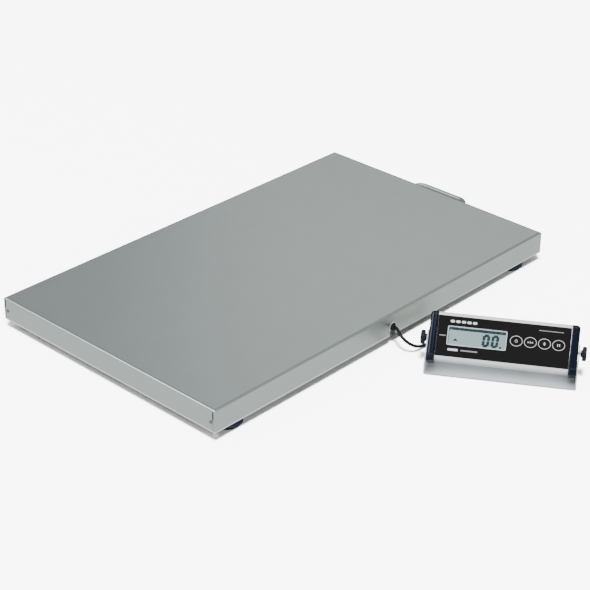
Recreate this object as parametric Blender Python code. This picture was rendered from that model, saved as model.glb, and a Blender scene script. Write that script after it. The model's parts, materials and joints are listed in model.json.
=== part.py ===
"""Animal weighing scale: a stainless floor platform on four levelling feet, with a carry handle,
and a separate display unit that tilts in a U-bracket beside it. One cable joins the two.

Metres, +Z up, the floor at Z = 0. The origin is the middle of the object's box on the floor.
The platform's long sides run along X. The display unit stands in front of the -Y long side.
"""
import math

import bmesh
import bpy
from mathutils import Matrix, Vector

# ---- driving dimensions ---------------------------------------------------------------------
GAP = 0.0003                 # clearance between pieces that touch

DECK_LENGTH = 0.900
DECK_WIDTH = 0.550
DECK_TOP = 0.062             # height of the weighing surface above the floor
SKIRT_HEIGHT = 0.044
SHEET = 0.0015
BEND_RADIUS = 0.0028

SCREW_FROM_SIDE = 0.010      # corner screws, from the long side
SCREW_DROP = 0.025           # and below the deck
SCREW_HEAD = 0.0008

RAIL_WIDTH = 0.036
RAIL_HEIGHT = 0.0215
RAIL_LENGTH = 0.880
RAIL_WALL = 0.002
RAIL_Y = 0.240
CROSS_WIDTH = 0.030
CROSS_HEIGHT = 0.020
CROSS_X = 0.270
CENTRE_PLATE_WIDTH = 0.110
CENTRE_PLATE = 0.003

FOOT_X = 0.390
FOOT_RADIUS = 0.029
STUD_RADIUS = 0.005
CELL_LENGTH = 0.100
CELL_WIDTH = 0.022
CELL_BOTTOM = 0.0415
CELL_TOP = 0.0555

JUNCTION_X = 0.090
JUNCTION_Y = 0.064
JUNCTION_BOTTOM = 0.0245
JUNCTION_MIDDLE_Y = -0.140

HANDLE_RADIUS = 0.005
HANDLE_REACH = 0.037         # how far the handle stands out of the short side
HANDLE_LEG_Y = 0.063
HANDLE_Z = 0.0445
HANDLE_BEND = 0.018

CABLE_RADIUS = 0.003
SLOT_WIDTH = 0.016
SLOT_TOP = 0.043
GROMMET_Z = 0.035
GROMMET_TIP = 0.0042         # the grommet's nose stands this far out of the long side

STAND_X = 0.0665             # middle of the tilt axis, from the platform's middle
STAND_Y = -0.472
STAND_TURN = math.radians(-57.9)
AXIS_HEIGHT = 0.049
TILT = math.radians(40.0)    # the face leans back by this much

STAND_LENGTH = 0.267
STAND_DEPTH = 0.0932
STAND_SHEET = 0.002
STAND_BASE = 0.0015          # underside of the bracket's base, above the floor
EAR_FRONT = 0.024
EAR_RADIUS = 0.015

HOUSING_LENGTH = 0.233
HOUSING_DEPTH = 0.040
HOUSING_BOTTOM = -0.040      # from the tilt axis, along the face
HOUSING_TOP = 0.046
HOUSING_WALL = 0.002
FRONT_ROUND = 0.006
BACK_ROUND = 0.012
FACE_RECESS = 0.0014
CAP_LENGTH = 0.0145
CAP_PROUD = 0.001

OVERLAY = 0.0005
OVERLAY_HEIGHT = 0.0725
OVERLAY_LENGTH = 0.2324
OVERLAY_MIDDLE = 0.003       # of the face, from the tilt axis
WINDOW_X = -0.0462
WINDOW_Z = 0.0049
WINDOW_LENGTH = 0.105
WINDOW_HEIGHT = 0.0352
WINDOW_ROUND = 0.003
KEY_X = 0.0226
KEY_PITCH = 0.0245
KEY_Z = 0.0067
KEY_LENGTH = 0.0228
KEY_HEIGHT = 0.0196
KEY_COUNT = 4
GLAND_X = 0.039
GLAND_TIP = 0.036            # the gland's tip, from the tilt axis

KNOB_RADIUS = 0.013
KNOB_MIDDLE = 0.1418
KNOB_THICKNESS = 0.008
KNOB_STUD = 0.003
WASHER = 0.001

COIL_BACK = 0.106            # the coil's middle, behind the tilt axis
COIL_RADIUS = 0.033          # at the middle of its turns
COIL_BOTTOM = 0.0009
COIL_HEIGHT = 0.012
COIL_WIDTH = 0.018
TIE = 0.0006

# The cable's route to the coil, from the platform's middle: hand-chosen points.
CABLE_ROUTE = [
    (0.0000, -0.2806, 0.0350),
    (-0.0004, -0.2840, 0.0350),
    (-0.0024, -0.2880, 0.0348),
    (-0.0066, -0.2945, 0.0337),
    (-0.0100, -0.3030, 0.0310),
    (-0.0105, -0.3130, 0.0262),
    (-0.0060, -0.3205, 0.0203),
    (0.0024, -0.3250, 0.0142),
    (0.0130, -0.3262, 0.0094),
    (0.0245, -0.3262, 0.0058),
    (0.0370, -0.3260, 0.0036),
    (0.0500, -0.3250, 0.0030),
    (0.0750, -0.3205, 0.0030),
    (0.1000, -0.3160, 0.0030),
    (0.1220, -0.3155, 0.0030),
    (0.1410, -0.3235, 0.0030),
    (0.1560, -0.3415, 0.0031),
    (0.1672, -0.3597, 0.0035),
    (0.1775, -0.3761, 0.0039),
]
# And from the coil to the gland, as distances behind the tilt axis and heights.
TAIL_ROUTE = [
    (0.0839, 0.0099),
    (0.0760, 0.0072),
    (0.0680, 0.0046),
    (0.0605, 0.0043),
    (0.0530, 0.0066),
    (0.0460, 0.0108),
    (0.0395, 0.0159),
    (0.0335, 0.0209),
    (0.0278, 0.0257),
]

# ---- worked out from the above --------------------------------------------------------------
HALF_LENGTH = DECK_LENGTH / 2
HALF_WIDTH = DECK_WIDTH / 2
SKIRT_BOTTOM = DECK_TOP - SKIRT_HEIGHT
UNDER_DECK = DECK_TOP - SHEET - GAP
RAIL_BOTTOM = UNDER_DECK - RAIL_HEIGHT
CAP_END = HOUSING_LENGTH / 2 + CAP_LENGTH
EAR_OUTSIDE = STAND_LENGTH / 2
EAR_INSIDE = EAR_OUTSIDE - STAND_SHEET
FRONT = -HOUSING_DEPTH / 2
BACK = HOUSING_DEPTH / 2
FACE = FRONT + FACE_RECESS
INNER_FACE = FACE + HOUSING_WALL
# The object's box runs from a corner screw to the handle, and from the bracket to the far side.
STAND_REACH = (
    abs(math.sin(STAND_TURN)) * STAND_LENGTH / 2 + math.cos(STAND_TURN) * STAND_DEPTH / 2
)
PLATFORM_X = (SCREW_HEAD - HANDLE_REACH) / 2
PLATFORM_Y = (STAND_REACH - STAND_Y - HALF_WIDTH) / 2


# ---- helpers --------------------------------------------------------------------------------
def clear_scene():
    for thing in list(bpy.data.objects):
        bpy.data.objects.remove(thing, do_unlink=True)


def make_material(name, color, metallic, roughness, alpha=1.0):
    material = bpy.data.materials.new(name)
    material.use_nodes = True
    shader = material.node_tree.nodes["Principled BSDF"]
    shader.inputs["Base Color"].default_value = (*color, 1.0)
    shader.inputs["Metallic"].default_value = metallic
    shader.inputs["Roughness"].default_value = roughness
    shader.inputs["Alpha"].default_value = alpha
    return material


def make_empty(name, location, rotation=(0.0, 0.0, 0.0)):
    empty = bpy.data.objects.new(name, None)
    empty.location = location
    empty.rotation_euler = rotation
    bpy.context.collection.objects.link(empty)
    return empty


def make_object(name, bm, material, parent, location=(0.0, 0.0, 0.0), rotation=(0.0, 0.0, 0.0)):
    bmesh.ops.recalc_face_normals(bm, faces=bm.faces)
    mesh = bpy.data.meshes.new(name)
    bm.to_mesh(mesh)
    bm.free()
    mesh.materials.append(material)
    mesh.shade_smooth()
    mesh.set_sharp_from_angle(angle=math.radians(35))
    thing = bpy.data.objects.new(name, mesh)
    thing.parent = parent
    thing.location = location
    thing.rotation_euler = rotation
    bpy.context.collection.objects.link(thing)
    return thing


def loft(rings, closed=False):
    """Skin rings of equally many points. A closed loft joins its last ring to its first."""
    bm = bmesh.new()
    rows = [[bm.verts.new(point) for point in ring] for ring in rings]
    count = len(rows[0])
    pairs = list(zip(rows, rows[1:]))
    if closed:
        pairs.append((rows[-1], rows[0]))
    for near, far in pairs:
        for i in range(count):
            j = (i + 1) % count
            bm.faces.new((near[i], near[j], far[j], far[i]))
    if not closed:
        bm.faces.new(rows[0])
        bm.faces.new(rows[-1])
    return bm


def box(size, middle=(0.0, 0.0, 0.0)):
    bm = bmesh.new()
    place = Matrix.Translation(middle) @ Matrix.Diagonal((*size, 1.0))
    bmesh.ops.create_cube(bm, size=1.0, matrix=place)
    return bm


def circle(radius, height, segments):
    """A ring of points around Z."""
    ring = []
    for i in range(segments):
        angle = 2 * math.pi * i / segments
        ring.append((radius * math.cos(angle), radius * math.sin(angle), height))
    return ring


def hexagon(across, height):
    """Six corners and the middles of six sides around Z, twelve points as on a circle."""
    ring = []
    for i in range(12):
        angle = math.pi * i / 6
        radius = across / 2 if i % 2 else across / math.sqrt(3)
        ring.append((radius * math.cos(angle), radius * math.sin(angle), height))
    return ring


def turned(profile, segments=24):
    """A solid of (radius, height) steps around Z."""
    return loft([circle(radius, height, segments) for radius, height in profile])


def turned_ring(profile, segments=24):
    """A ring around Z whose section is the closed profile."""
    return loft([circle(radius, height, segments) for radius, height in profile], closed=True)


def nut(across, bore, thickness):
    """A hexagon nut around Z, from height 0 up."""
    rings = [
        circle(bore, 0.0, 12),
        hexagon(across, 0.0),
        hexagon(across, thickness),
        circle(bore, thickness, 12),
    ]
    return loft(rings, closed=True)


def rounded_outline(low, high, radii, steps):
    """A rounded rectangle, counter-clockwise from its low corner. radii: at low-low,
    high-low, high-high and low-high."""
    corners = [
        (low[0] + radii[0], low[1] + radii[0], radii[0], math.pi),
        (high[0] - radii[1], low[1] + radii[1], radii[1], 1.5 * math.pi),
        (high[0] - radii[2], high[1] - radii[2], radii[2], 0.0),
        (low[0] + radii[3], high[1] - radii[3], radii[3], 0.5 * math.pi),
    ]
    outline = []
    for x, y, radius, start in corners:
        for i in range(steps + 1):
            angle = start + 0.5 * math.pi * i / steps
            outline.append((x + radius * math.cos(angle), y + radius * math.sin(angle)))
    return outline


def ellipse(length, height, segments):
    outline = []
    for i in range(segments):
        angle = 2 * math.pi * i / segments
        outline.append((length / 2 * math.cos(angle), height / 2 * math.sin(angle)))
    return outline


def slab(outline, front, back):
    """An outline in X and Z, extruded along Y."""
    rings = [[(x, y, z) for x, z in outline] for y in (front, back)]
    return loft(rings)


def add_cutter(target, bm, parent, location=(0.0, 0.0, 0.0), rotation=(0.0, 0.0, 0.0)):
    """Cut target by a hidden solid. Its origin is the parent's, as the target's is."""
    cutter = make_object(target.name + "_cutter", bm, CUTTER, parent, location, rotation)
    cutter.hide_render = True
    cutter.display_type = "WIRE"
    cut = target.modifiers.new("cut", "BOOLEAN")
    cut.operation = "DIFFERENCE"
    cut.object = cutter


def add_lump(target, bm, parent):
    """Join a hidden solid to target."""
    lump = make_object(target.name + "_lump", bm, CUTTER, parent)
    lump.hide_render = True
    lump.display_type = "WIRE"
    join = target.modifiers.new("join", "BOOLEAN")
    join.operation = "UNION"
    join.object = lump


def smooth_route(points, spacing):
    """Evenly spaced points on a smooth curve through the route's points."""
    route = [Vector(point) for point in points]
    padded = [2 * route[0] - route[1], *route, 2 * route[-1] - route[-2]]
    fine = []
    for before, start, end, after in zip(padded, padded[1:], padded[2:], padded[3:]):
        for i in range(16):
            t = i / 16
            bend = 2 * before - 5 * start + 4 * end - after
            twist = 3 * start - before - 3 * end + after
            fine.append(0.5 * (2 * start + (end - before) * t + bend * t**2 + twist * t**3))
    fine.append(route[-1])
    lengths = [0.0]
    for start, end in zip(fine, fine[1:]):
        lengths.append(lengths[-1] + (end - start).length)
    count = max(2, round(lengths[-1] / spacing))
    even = []
    k = 0
    for i in range(count + 1):
        distance = lengths[-1] * i / count
        while k < len(fine) - 2 and lengths[k + 1] < distance:
            k += 1
        part = (distance - lengths[k]) / (lengths[k + 1] - lengths[k])
        even.append(fine[k].lerp(fine[k + 1], part))
    return even


def make_cord(name, points, parent, spacing=0.012):
    curve = bpy.data.curves.new(name, "CURVE")
    curve.dimensions = "3D"
    curve.bevel_depth = CABLE_RADIUS
    curve.bevel_resolution = 2
    curve.use_fill_caps = True
    curve.materials.append(BLACK_PLASTIC)
    even = smooth_route(points, spacing)
    spline = curve.splines.new("POLY")
    spline.points.add(len(even) - 1)
    for slot, point in zip(spline.points, even):
        slot.co = (*point, 1.0)
    thing = bpy.data.objects.new(name, curve)
    thing.parent = parent
    bpy.context.collection.objects.link(thing)
    return thing


def swept_bar(points, radii, segments=12):
    """A round bar along points that lie in one horizontal plane."""
    rings = []
    for i, point in enumerate(points):
        before = points[max(i - 1, 0)]
        after = points[min(i + 1, len(points) - 1)]
        ahead = (after - before).normalized()
        side = Vector((-ahead.y, ahead.x, 0.0))
        ring = []
        for k in range(segments):
            angle = 2 * math.pi * k / segments
            offset = side * math.cos(angle) + Vector((0.0, 0.0, 1.0)) * math.sin(angle)
            ring.append(point + radii[i] * offset)
        rings.append(ring)
    return loft(rings)


# ---- the platform ---------------------------------------------------------------------------
def build_pan(platform):
    bm = box((DECK_LENGTH, DECK_WIDTH, SKIRT_HEIGHT), (0, 0, DECK_TOP - SKIRT_HEIGHT / 2))
    floor_faces = [face for face in bm.faces if face.normal.z < -0.5]
    bmesh.ops.delete(bm, geom=floor_faces, context="FACES_ONLY")
    bends = [edge for edge in bm.edges if not edge.is_boundary]
    bmesh.ops.bevel(bm, geom=bends, offset=BEND_RADIUS, segments=3, profile=0.5, affect="EDGES")
    pan = make_object("platform_pan", bm, STAINLESS, platform)
    wall = pan.modifiers.new("sheet", "SOLIDIFY")
    wall.thickness = SHEET
    wall.offset = -1.0
    wall.use_even_offset = True

    arc_z = SLOT_TOP - SLOT_WIDTH / 2
    outline = [(-SLOT_WIDTH / 2, SKIRT_BOTTOM - 0.01), (SLOT_WIDTH / 2, SKIRT_BOTTOM - 0.01)]
    for i in range(13):
        angle = math.pi * i / 12
        outline.append((SLOT_WIDTH / 2 * math.cos(angle), arc_z + SLOT_WIDTH / 2 * math.sin(angle)))
    add_cutter(pan, slab(outline, -HALF_WIDTH - 0.01, -HALF_WIDTH + 0.01), platform)

    for side in (-1, 1):
        for end in (-1, 1):
            place = (side * HALF_LENGTH, end * (HALF_WIDTH - SCREW_FROM_SIDE), DECK_TOP - SCREW_DROP)
            hole = turned([(0.0018, -0.01), (0.0018, 0.01)], 12)
            add_cutter(pan, hole, platform, place, (0, math.pi / 2, 0))
    for end in (-1, 1):
        place = (HALF_LENGTH, end * HANDLE_LEG_Y, HANDLE_Z)
        hole = turned([(0.0043, -0.01), (0.0043, 0.01)], 12)
        add_cutter(pan, hole, platform, place, (0, math.pi / 2, 0))


def build_corner_screws(platform):
    profile = [(0.0015, -0.006), (0.0015, GAP), (0.0032, GAP), (0.0030, 0.0006), (0.0018, SCREW_HEAD)]
    number = 0
    for side in (-1, 1):
        for end in (-1, 1):
            number += 1
            place = (side * HALF_LENGTH, end * (HALF_WIDTH - SCREW_FROM_SIDE), DECK_TOP - SCREW_DROP)
            turn = (0, side * math.pi / 2, 0)
            make_object(f"corner_screw_{number}", turned(profile, 12), STEEL, platform, place, turn)


def build_frame(platform):
    for name, side in (("frame_rail_front", -1), ("frame_rail_back", 1)):
        half = RAIL_WIDTH / 2
        inner = half - RAIL_WALL
        web = UNDER_DECK - RAIL_WALL
        section = [
            (-half, RAIL_BOTTOM), (-half, UNDER_DECK), (half, UNDER_DECK), (half, RAIL_BOTTOM),
            (inner, RAIL_BOTTOM), (inner, web), (-inner, web), (-inner, RAIL_BOTTOM),
        ]
        rings = [[(x, y, z) for y, z in section] for x in (-RAIL_LENGTH / 2, RAIL_LENGTH / 2)]
        make_object(name, loft(rings), PAINTED_STEEL, platform, (0, side * RAIL_Y, 0))

    half_span = RAIL_Y - RAIL_WIDTH / 2 - GAP
    for name, side in (("frame_cross_left", -1), ("frame_cross_right", 1)):
        rings = []
        for inset, y in ((0, -half_span), (0, half_span), (RAIL_WALL, half_span), (RAIL_WALL, -half_span)):
            half = CROSS_WIDTH / 2 - inset
            low = UNDER_DECK - CROSS_HEIGHT + inset
            high = UNDER_DECK - inset
            rings.append([(-half, y, low), (half, y, low), (half, y, high), (-half, y, high)])
        bm = loft(rings, closed=True)
        make_object(name, bm, PAINTED_STEEL, platform, (side * CROSS_X, 0, 0))

    size = (CENTRE_PLATE_WIDTH, 2 * half_span, CENTRE_PLATE)
    bm = box(size, (0, 0, UNDER_DECK - CENTRE_PLATE / 2))
    make_object("frame_centre_plate", bm, PAINTED_STEEL, platform)


def build_foot(platform, number, side, end):
    """A load cell, and the foot that carries it: stud, lock nut and pad."""
    x = side * FOOT_X
    y = end * RAIL_Y
    web = UNDER_DECK - RAIL_WALL

    free_end = 0.014
    step = 0.036
    profile = [
        (free_end, CELL_BOTTOM), (free_end, CELL_TOP), (step - CELL_LENGTH + free_end, CELL_TOP),
        (step - CELL_LENGTH + free_end, web - GAP), (free_end - CELL_LENGTH, web - GAP),
        (free_end - CELL_LENGTH, CELL_BOTTOM),
    ]
    half = CELL_WIDTH / 2
    rings = [[(side * u, v, z) for u, z in profile] for v in (-half, half)]
    cell = make_object(f"load_cell_{number}", loft(rings), ALUMINIUM, platform, (x, y, 0))
    middle = (CELL_BOTTOM + CELL_TOP) / 2
    waist = rounded_outline((-0.013, -0.0045), (0.013, 0.0045), (0.0044,) * 4, 4)
    window = [(u - side * 0.032, z + middle) for u, z in waist]
    add_cutter(cell, slab(window, -0.02, 0.02), platform, (x, y, 0))
    bore = turned([(STUD_RADIUS + GAP, CELL_BOTTOM - 0.01), (STUD_RADIUS + GAP, CELL_TOP + 0.001)], 12)
    add_cutter(cell, bore, platform, (x, y, 0))

    lock = nut(0.017, STUD_RADIUS + GAP, 0.006)
    make_object(f"lock_nut_{number}", lock, STEEL, platform, (x, y, CELL_BOTTOM - GAP - 0.006))

    collar = 0.0175
    rings = [
        circle(STUD_RADIUS - 0.001, 0.0075, 12), circle(STUD_RADIUS, 0.0085, 12),
        circle(STUD_RADIUS, collar, 12), hexagon(0.016, collar), hexagon(0.016, collar + 0.005),
        circle(STUD_RADIUS, collar + 0.005, 12), circle(STUD_RADIUS, 0.0535, 12),
        circle(STUD_RADIUS - 0.001, 0.0545, 12),
    ]
    make_object(f"foot_stud_{number}", loft(rings), STEEL, platform, (x, y, 0))

    profile = [
        (FOOT_RADIUS - 0.0015, 0.0), (FOOT_RADIUS, 0.0015), (FOOT_RADIUS, 0.0055),
        (FOOT_RADIUS - 0.004, 0.0095), (0.012, 0.0125), (0.0105, 0.0170),
        (STUD_RADIUS + GAP, 0.0170), (STUD_RADIUS + GAP, 0.0070),
    ]
    make_object(f"foot_pad_{number}", turned(profile, 28), BLACK_RUBBER, platform, (x, y, 0))


def build_junction_box(platform):
    top = UNDER_DECK - CENTRE_PLATE - GAP
    lid = 0.002
    rim = JUNCTION_BOTTOM + lid + GAP
    wall = 0.002
    half_x = JUNCTION_X / 2
    half_y = JUNCTION_Y / 2
    place = (0, JUNCTION_MIDDLE_Y, 0)

    def ring(inset, z):
        low = (inset - half_x, inset - half_y)
        high = (half_x - inset, half_y - inset)
        outline = rounded_outline(low, high, (0.003 - inset / 2,) * 4, 2)
        return [(x, y, z) for x, y in outline]

    shell = loft([ring(wall, top - wall), ring(wall, rim), ring(0, rim), ring(0, top)])
    make_object("junction_box", shell, GREY_PLASTIC, platform, place)
    lid_bm = loft([ring(0, JUNCTION_BOTTOM), ring(0, JUNCTION_BOTTOM + lid)])
    make_object("junction_box_lid", lid_bm, GREY_PLASTIC, platform, place)
    board = box((JUNCTION_X - 0.012, JUNCTION_Y - 0.012, 0.0016), (0, 0, top - 0.010))
    make_object("summing_board", board, BOARD_GREEN, platform, place)


def build_handle(platform):
    outside = HALF_LENGTH + GAP
    bar_x = HALF_LENGTH + HANDLE_REACH - HANDLE_RADIUS
    thread = 0.004
    half = [(HALF_LENGTH - 0.014, thread), (outside, thread), (outside, HANDLE_RADIUS)]
    leg = [(Vector((x, HANDLE_LEG_Y, HANDLE_Z)), radius) for x, radius in half]
    for i in range(7):
        angle = 0.5 * math.pi * i / 6
        x = bar_x - HANDLE_BEND + HANDLE_BEND * math.sin(angle)
        y = HANDLE_LEG_Y - HANDLE_BEND + HANDLE_BEND * math.cos(angle)
        leg.append((Vector((x, y, HANDLE_Z)), HANDLE_RADIUS))
    other = [(Vector((point.x, -point.y, point.z)), radius) for point, radius in reversed(leg)]
    path = leg + other
    bar = swept_bar([point for point, _ in path], [radius for _, radius in path])
    make_object("carry_handle", bar, STEEL, platform)
    for number, end in ((1, -1), (2, 1)):
        place = (HALF_LENGTH - SHEET - GAP, end * HANDLE_LEG_Y, HANDLE_Z)
        turn = (0, -math.pi / 2, 0)
        bm = nut(0.013, thread + GAP, 0.0065)
        make_object(f"handle_nut_{number}", bm, STEEL, platform, place, turn)


def build_cable(platform, stand):
    wall = HALF_WIDTH - SHEET
    neck = SLOT_WIDTH / 2 - GAP
    profile = [
        (0.0095, -0.0020 - GAP), (0.0095, -GAP), (neck, -GAP), (neck, SHEET + 0.0012),
        (0.0052, SHEET + 0.0017), (0.0038, SHEET + GROMMET_TIP),
    ]
    place = (0, -wall, GROMMET_Z)
    make_object("cable_grommet", turned(profile, 20), BLACK_RUBBER, platform, place, (math.pi / 2, 0, 0))

    box_front = JUNCTION_MIDDLE_Y - JUNCTION_Y / 2 - GAP
    grommet_back = -wall + 0.0020 + 2 * GAP
    middle = (0.004, (box_front + grommet_back) / 2, GROMMET_Z)
    inner = [(0, box_front, GROMMET_Z), middle, (0, grommet_back, GROMMET_Z)]
    make_cord("cable_inner", inner, platform)

    make_cord("cable_run", CABLE_ROUTE, platform)
    tail = [(GLAND_X, back, height) for back, height in TAIL_ROUTE]
    make_cord("cable_tail", tail, stand)

    inside = COIL_RADIUS - COIL_WIDTH / 2
    outside = COIL_RADIUS + COIL_WIDTH / 2
    low = COIL_BOTTOM
    high = COIL_BOTTOM + COIL_HEIGHT
    soft = 0.0015
    profile = [
        (outside, high - soft), (outside, low + soft), (outside - soft, low), (inside + soft, low),
        (inside, low + soft), (inside, high - soft), (inside + soft, high), (outside - soft, high),
    ]
    make_object("cable_coil", turned_ring(profile, 36), BLACK_PLASTIC, stand, (0, COIL_BACK, 0))

    rings = []
    for grow, along in ((0, -0.0025), (0, 0.0025), (TIE, 0.0025), (TIE, -0.0025)):
        near = -inside + 0.00045 + grow
        far = -outside - 0.00045 - grow
        bottom = TIE - grow
        top = high + GAP + grow
        rings.append([(near, along, bottom), (far, along, bottom), (far, along, top), (near, along, top)])
    make_object("cable_tie", loft(rings, closed=True), BLACK_PLASTIC, stand, (0, COIL_BACK, 0))


# ---- the display unit -----------------------------------------------------------------------
def build_stand(stand):
    top = STAND_BASE + STAND_SHEET
    half_depth = STAND_DEPTH / 2
    reach = math.hypot(half_depth, AXIS_HEIGHT - EAR_FRONT)
    slope = math.atan2(AXIS_HEIGHT - EAR_FRONT, half_depth) + math.asin(EAR_RADIUS / reach)
    outline = [(-half_depth, EAR_FRONT), (-half_depth, STAND_BASE), (half_depth, STAND_BASE)]
    outline.append((half_depth, EAR_FRONT))
    steps = 10
    for i in range(steps + 1):
        angle = (math.pi / 2 - slope) + 2 * slope * i / steps
        outline.append((EAR_RADIUS * math.cos(angle), AXIS_HEIGHT + EAR_RADIUS * math.sin(angle)))

    size = (2 * EAR_INSIDE + 0.002, STAND_DEPTH, STAND_SHEET)
    bracket = make_object("stand_bracket", box(size, (0, 0, (STAND_BASE + top) / 2)), STEEL, stand)
    for side in (-1, 1):
        rings = [[(side * x, y, z) for y, z in outline] for x in (EAR_INSIDE, EAR_OUTSIDE)]
        add_lump(bracket, loft(rings), stand)
    for side in (-1, 1):
        hole = turned([(KNOB_STUD + GAP, -0.01), (KNOB_STUD + GAP, 0.01)], 16)
        place = (side * EAR_OUTSIDE, 0, AXIS_HEIGHT)
        add_cutter(bracket, hole, stand, place, (0, math.pi / 2, 0))
    for name, side in (("stand_pad_left", -1), ("stand_pad_right", 1)):
        pad = box((0.014, 0.080, STAND_BASE - GAP), (side * 0.112, 0, (STAND_BASE - GAP) / 2))
        make_object(name, pad, BLACK_RUBBER, stand)


def housing_rings():
    """The extrusion's outer section with its recessed face, and the inner section."""
    low = (FRONT, HOUSING_BOTTOM)
    high = (BACK, HOUSING_TOP)
    outer = rounded_outline(low, high, (FRONT_ROUND, BACK_ROUND, BACK_ROUND, FRONT_ROUND), 5)
    recess_high = OVERLAY_MIDDLE + OVERLAY_HEIGHT / 2 + GAP
    recess_low = OVERLAY_MIDDLE - OVERLAY_HEIGHT / 2 - GAP
    outer += [(FRONT, recess_high), (FACE, recess_high), (FACE, recess_low), (FRONT, recess_low)]
    low = (INNER_FACE, HOUSING_BOTTOM + HOUSING_WALL)
    high = (BACK - HOUSING_WALL, HOUSING_TOP - HOUSING_WALL)
    back = BACK_ROUND - HOUSING_WALL
    inner = rounded_outline(low, high, (0.003, back, back, 0.003), 5)
    step = 0.005
    heights = (recess_high - 0.001, recess_high - step, recess_low + step, recess_low + 0.001)
    inner += [(INNER_FACE, z) for z in heights]
    return outer, inner


def build_housing(axis):
    outer, inner = housing_rings()
    half = HOUSING_LENGTH / 2
    rings = []
    for outline, x in ((outer, -half), (outer, half), (inner, half), (inner, -half)):
        rings.append([(x, y, z) for y, z in outline])
    housing = make_object("housing", loft(rings, closed=True), ALUMINIUM, axis)

    margin = 0.0012
    half_x = WINDOW_LENGTH / 2 + margin
    half_z = WINDOW_HEIGHT / 2 + margin
    opening = rounded_outline((-half_x, -half_z), (half_x, half_z), (WINDOW_ROUND,) * 4, 3)
    opening = [(x + WINDOW_X, z + WINDOW_Z) for x, z in opening]
    add_cutter(housing, slab(opening, FRONT - 0.01, INNER_FACE + 0.002), axis)

    half_z = KEY_HEIGHT / 2 + 0.0006
    left = KEY_X - KEY_LENGTH / 2 - 0.0006
    right = KEY_X + (KEY_COUNT - 1) * KEY_PITCH + KEY_LENGTH / 2 + 0.0006
    slot = rounded_outline((left, KEY_Z - half_z), (right, KEY_Z + half_z), (half_z - 0.0005,) * 4, 6)
    add_cutter(housing, slab(slot, FRONT - 0.01, INNER_FACE + 0.002), axis)

    hole = turned([(0.0043, BACK - 0.006), (0.0043, BACK + 0.01)], 16)
    add_cutter(housing, hole, axis, (GLAND_X, 0, 0), (-math.pi / 2, 0, 0))


def build_end_caps(axis):
    half = HOUSING_LENGTH / 2

    def ring(grow, x, side):
        low = (FRONT - grow, HOUSING_BOTTOM - grow)
        high = (BACK + grow, HOUSING_TOP + grow)
        front = FRONT_ROUND + grow
        back = BACK_ROUND + grow
        outline = rounded_outline(low, high, (front, back, back, front), 5)
        return [(side * x, y, z) for y, z in outline]

    def plug(x, side):
        low = (INNER_FACE + GAP, HOUSING_BOTTOM + HOUSING_WALL + GAP)
        high = (BACK - HOUSING_WALL - GAP, HOUSING_TOP - HOUSING_WALL - GAP)
        back = BACK_ROUND - HOUSING_WALL - GAP
        outline = rounded_outline(low, high, (0.003, back, back, 0.003), 5)
        return [(side * x, y, z) for y, z in outline]

    for name, side in (("end_cap_left", -1), ("end_cap_right", 1)):
        rings = [
            plug(half - 0.006, side), plug(half + GAP, side), ring(CAP_PROUD, half + GAP, side),
            ring(CAP_PROUD, CAP_END - 0.0025, side), ring(CAP_PROUD - 0.0008, CAP_END - 0.0008, side),
            ring(CAP_PROUD - 0.0025, CAP_END, side),
        ]
        cap = make_object(name, loft(rings), NAVY_PLASTIC, axis)
        hole = turned([(KNOB_STUD + GAP, 0.1205), (KNOB_STUD + GAP, 0.14)], 16)
        add_cutter(cap, hole, axis, rotation=(0, side * math.pi / 2, 0))


def build_face(axis):
    front = FACE - GAP - OVERLAY
    half_x = OVERLAY_LENGTH / 2
    half_z = OVERLAY_HEIGHT / 2
    outline = rounded_outline((-half_x, -half_z), (half_x, half_z), (0.0008,) * 4, 2)
    outline = [(x, z + OVERLAY_MIDDLE) for x, z in outline]
    overlay = make_object("front_overlay", slab(outline, front, front + OVERLAY), BLACK_PLASTIC, axis)

    half_x = WINDOW_LENGTH / 2
    half_z = WINDOW_HEIGHT / 2
    window = rounded_outline((-half_x, -half_z), (half_x, half_z), (WINDOW_ROUND,) * 4, 4)
    window = [(x + WINDOW_X, z + WINDOW_Z) for x, z in window]
    add_cutter(overlay, slab(window, FRONT - 0.01, FACE + 0.01), axis)

    half_x -= GAP
    half_z -= GAP
    glass = rounded_outline((-half_x, -half_z), (half_x, half_z), (WINDOW_ROUND - GAP,) * 4, 4)
    glass = [(x + WINDOW_X, z + WINDOW_Z) for x, z in glass]
    make_object("display_lens", slab(glass, front + 0.0004, front + 0.0014), CLEAR_PLASTIC, axis)

    module = box((0.116, 0.003, 0.044), (WINDOW_X, INNER_FACE + GAP + 0.0015, WINDOW_Z))
    make_object("display_module", module, DISPLAY_GREY, axis)

    key_front = front - 0.0002
    for i in range(KEY_COUNT):
        place = (KEY_X + i * KEY_PITCH, 0, KEY_Z)
        hole = slab(ellipse(KEY_LENGTH + 2 * GAP, KEY_HEIGHT + 2 * GAP, 28), FRONT - 0.01, FACE + 0.01)
        add_cutter(overlay, hole, axis, place)
        key = slab(ellipse(KEY_LENGTH, KEY_HEIGHT, 28), key_front, key_front + 0.002)
        make_object(f"key_{i + 1}", key, BLACK_PLASTIC, axis, place)


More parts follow.
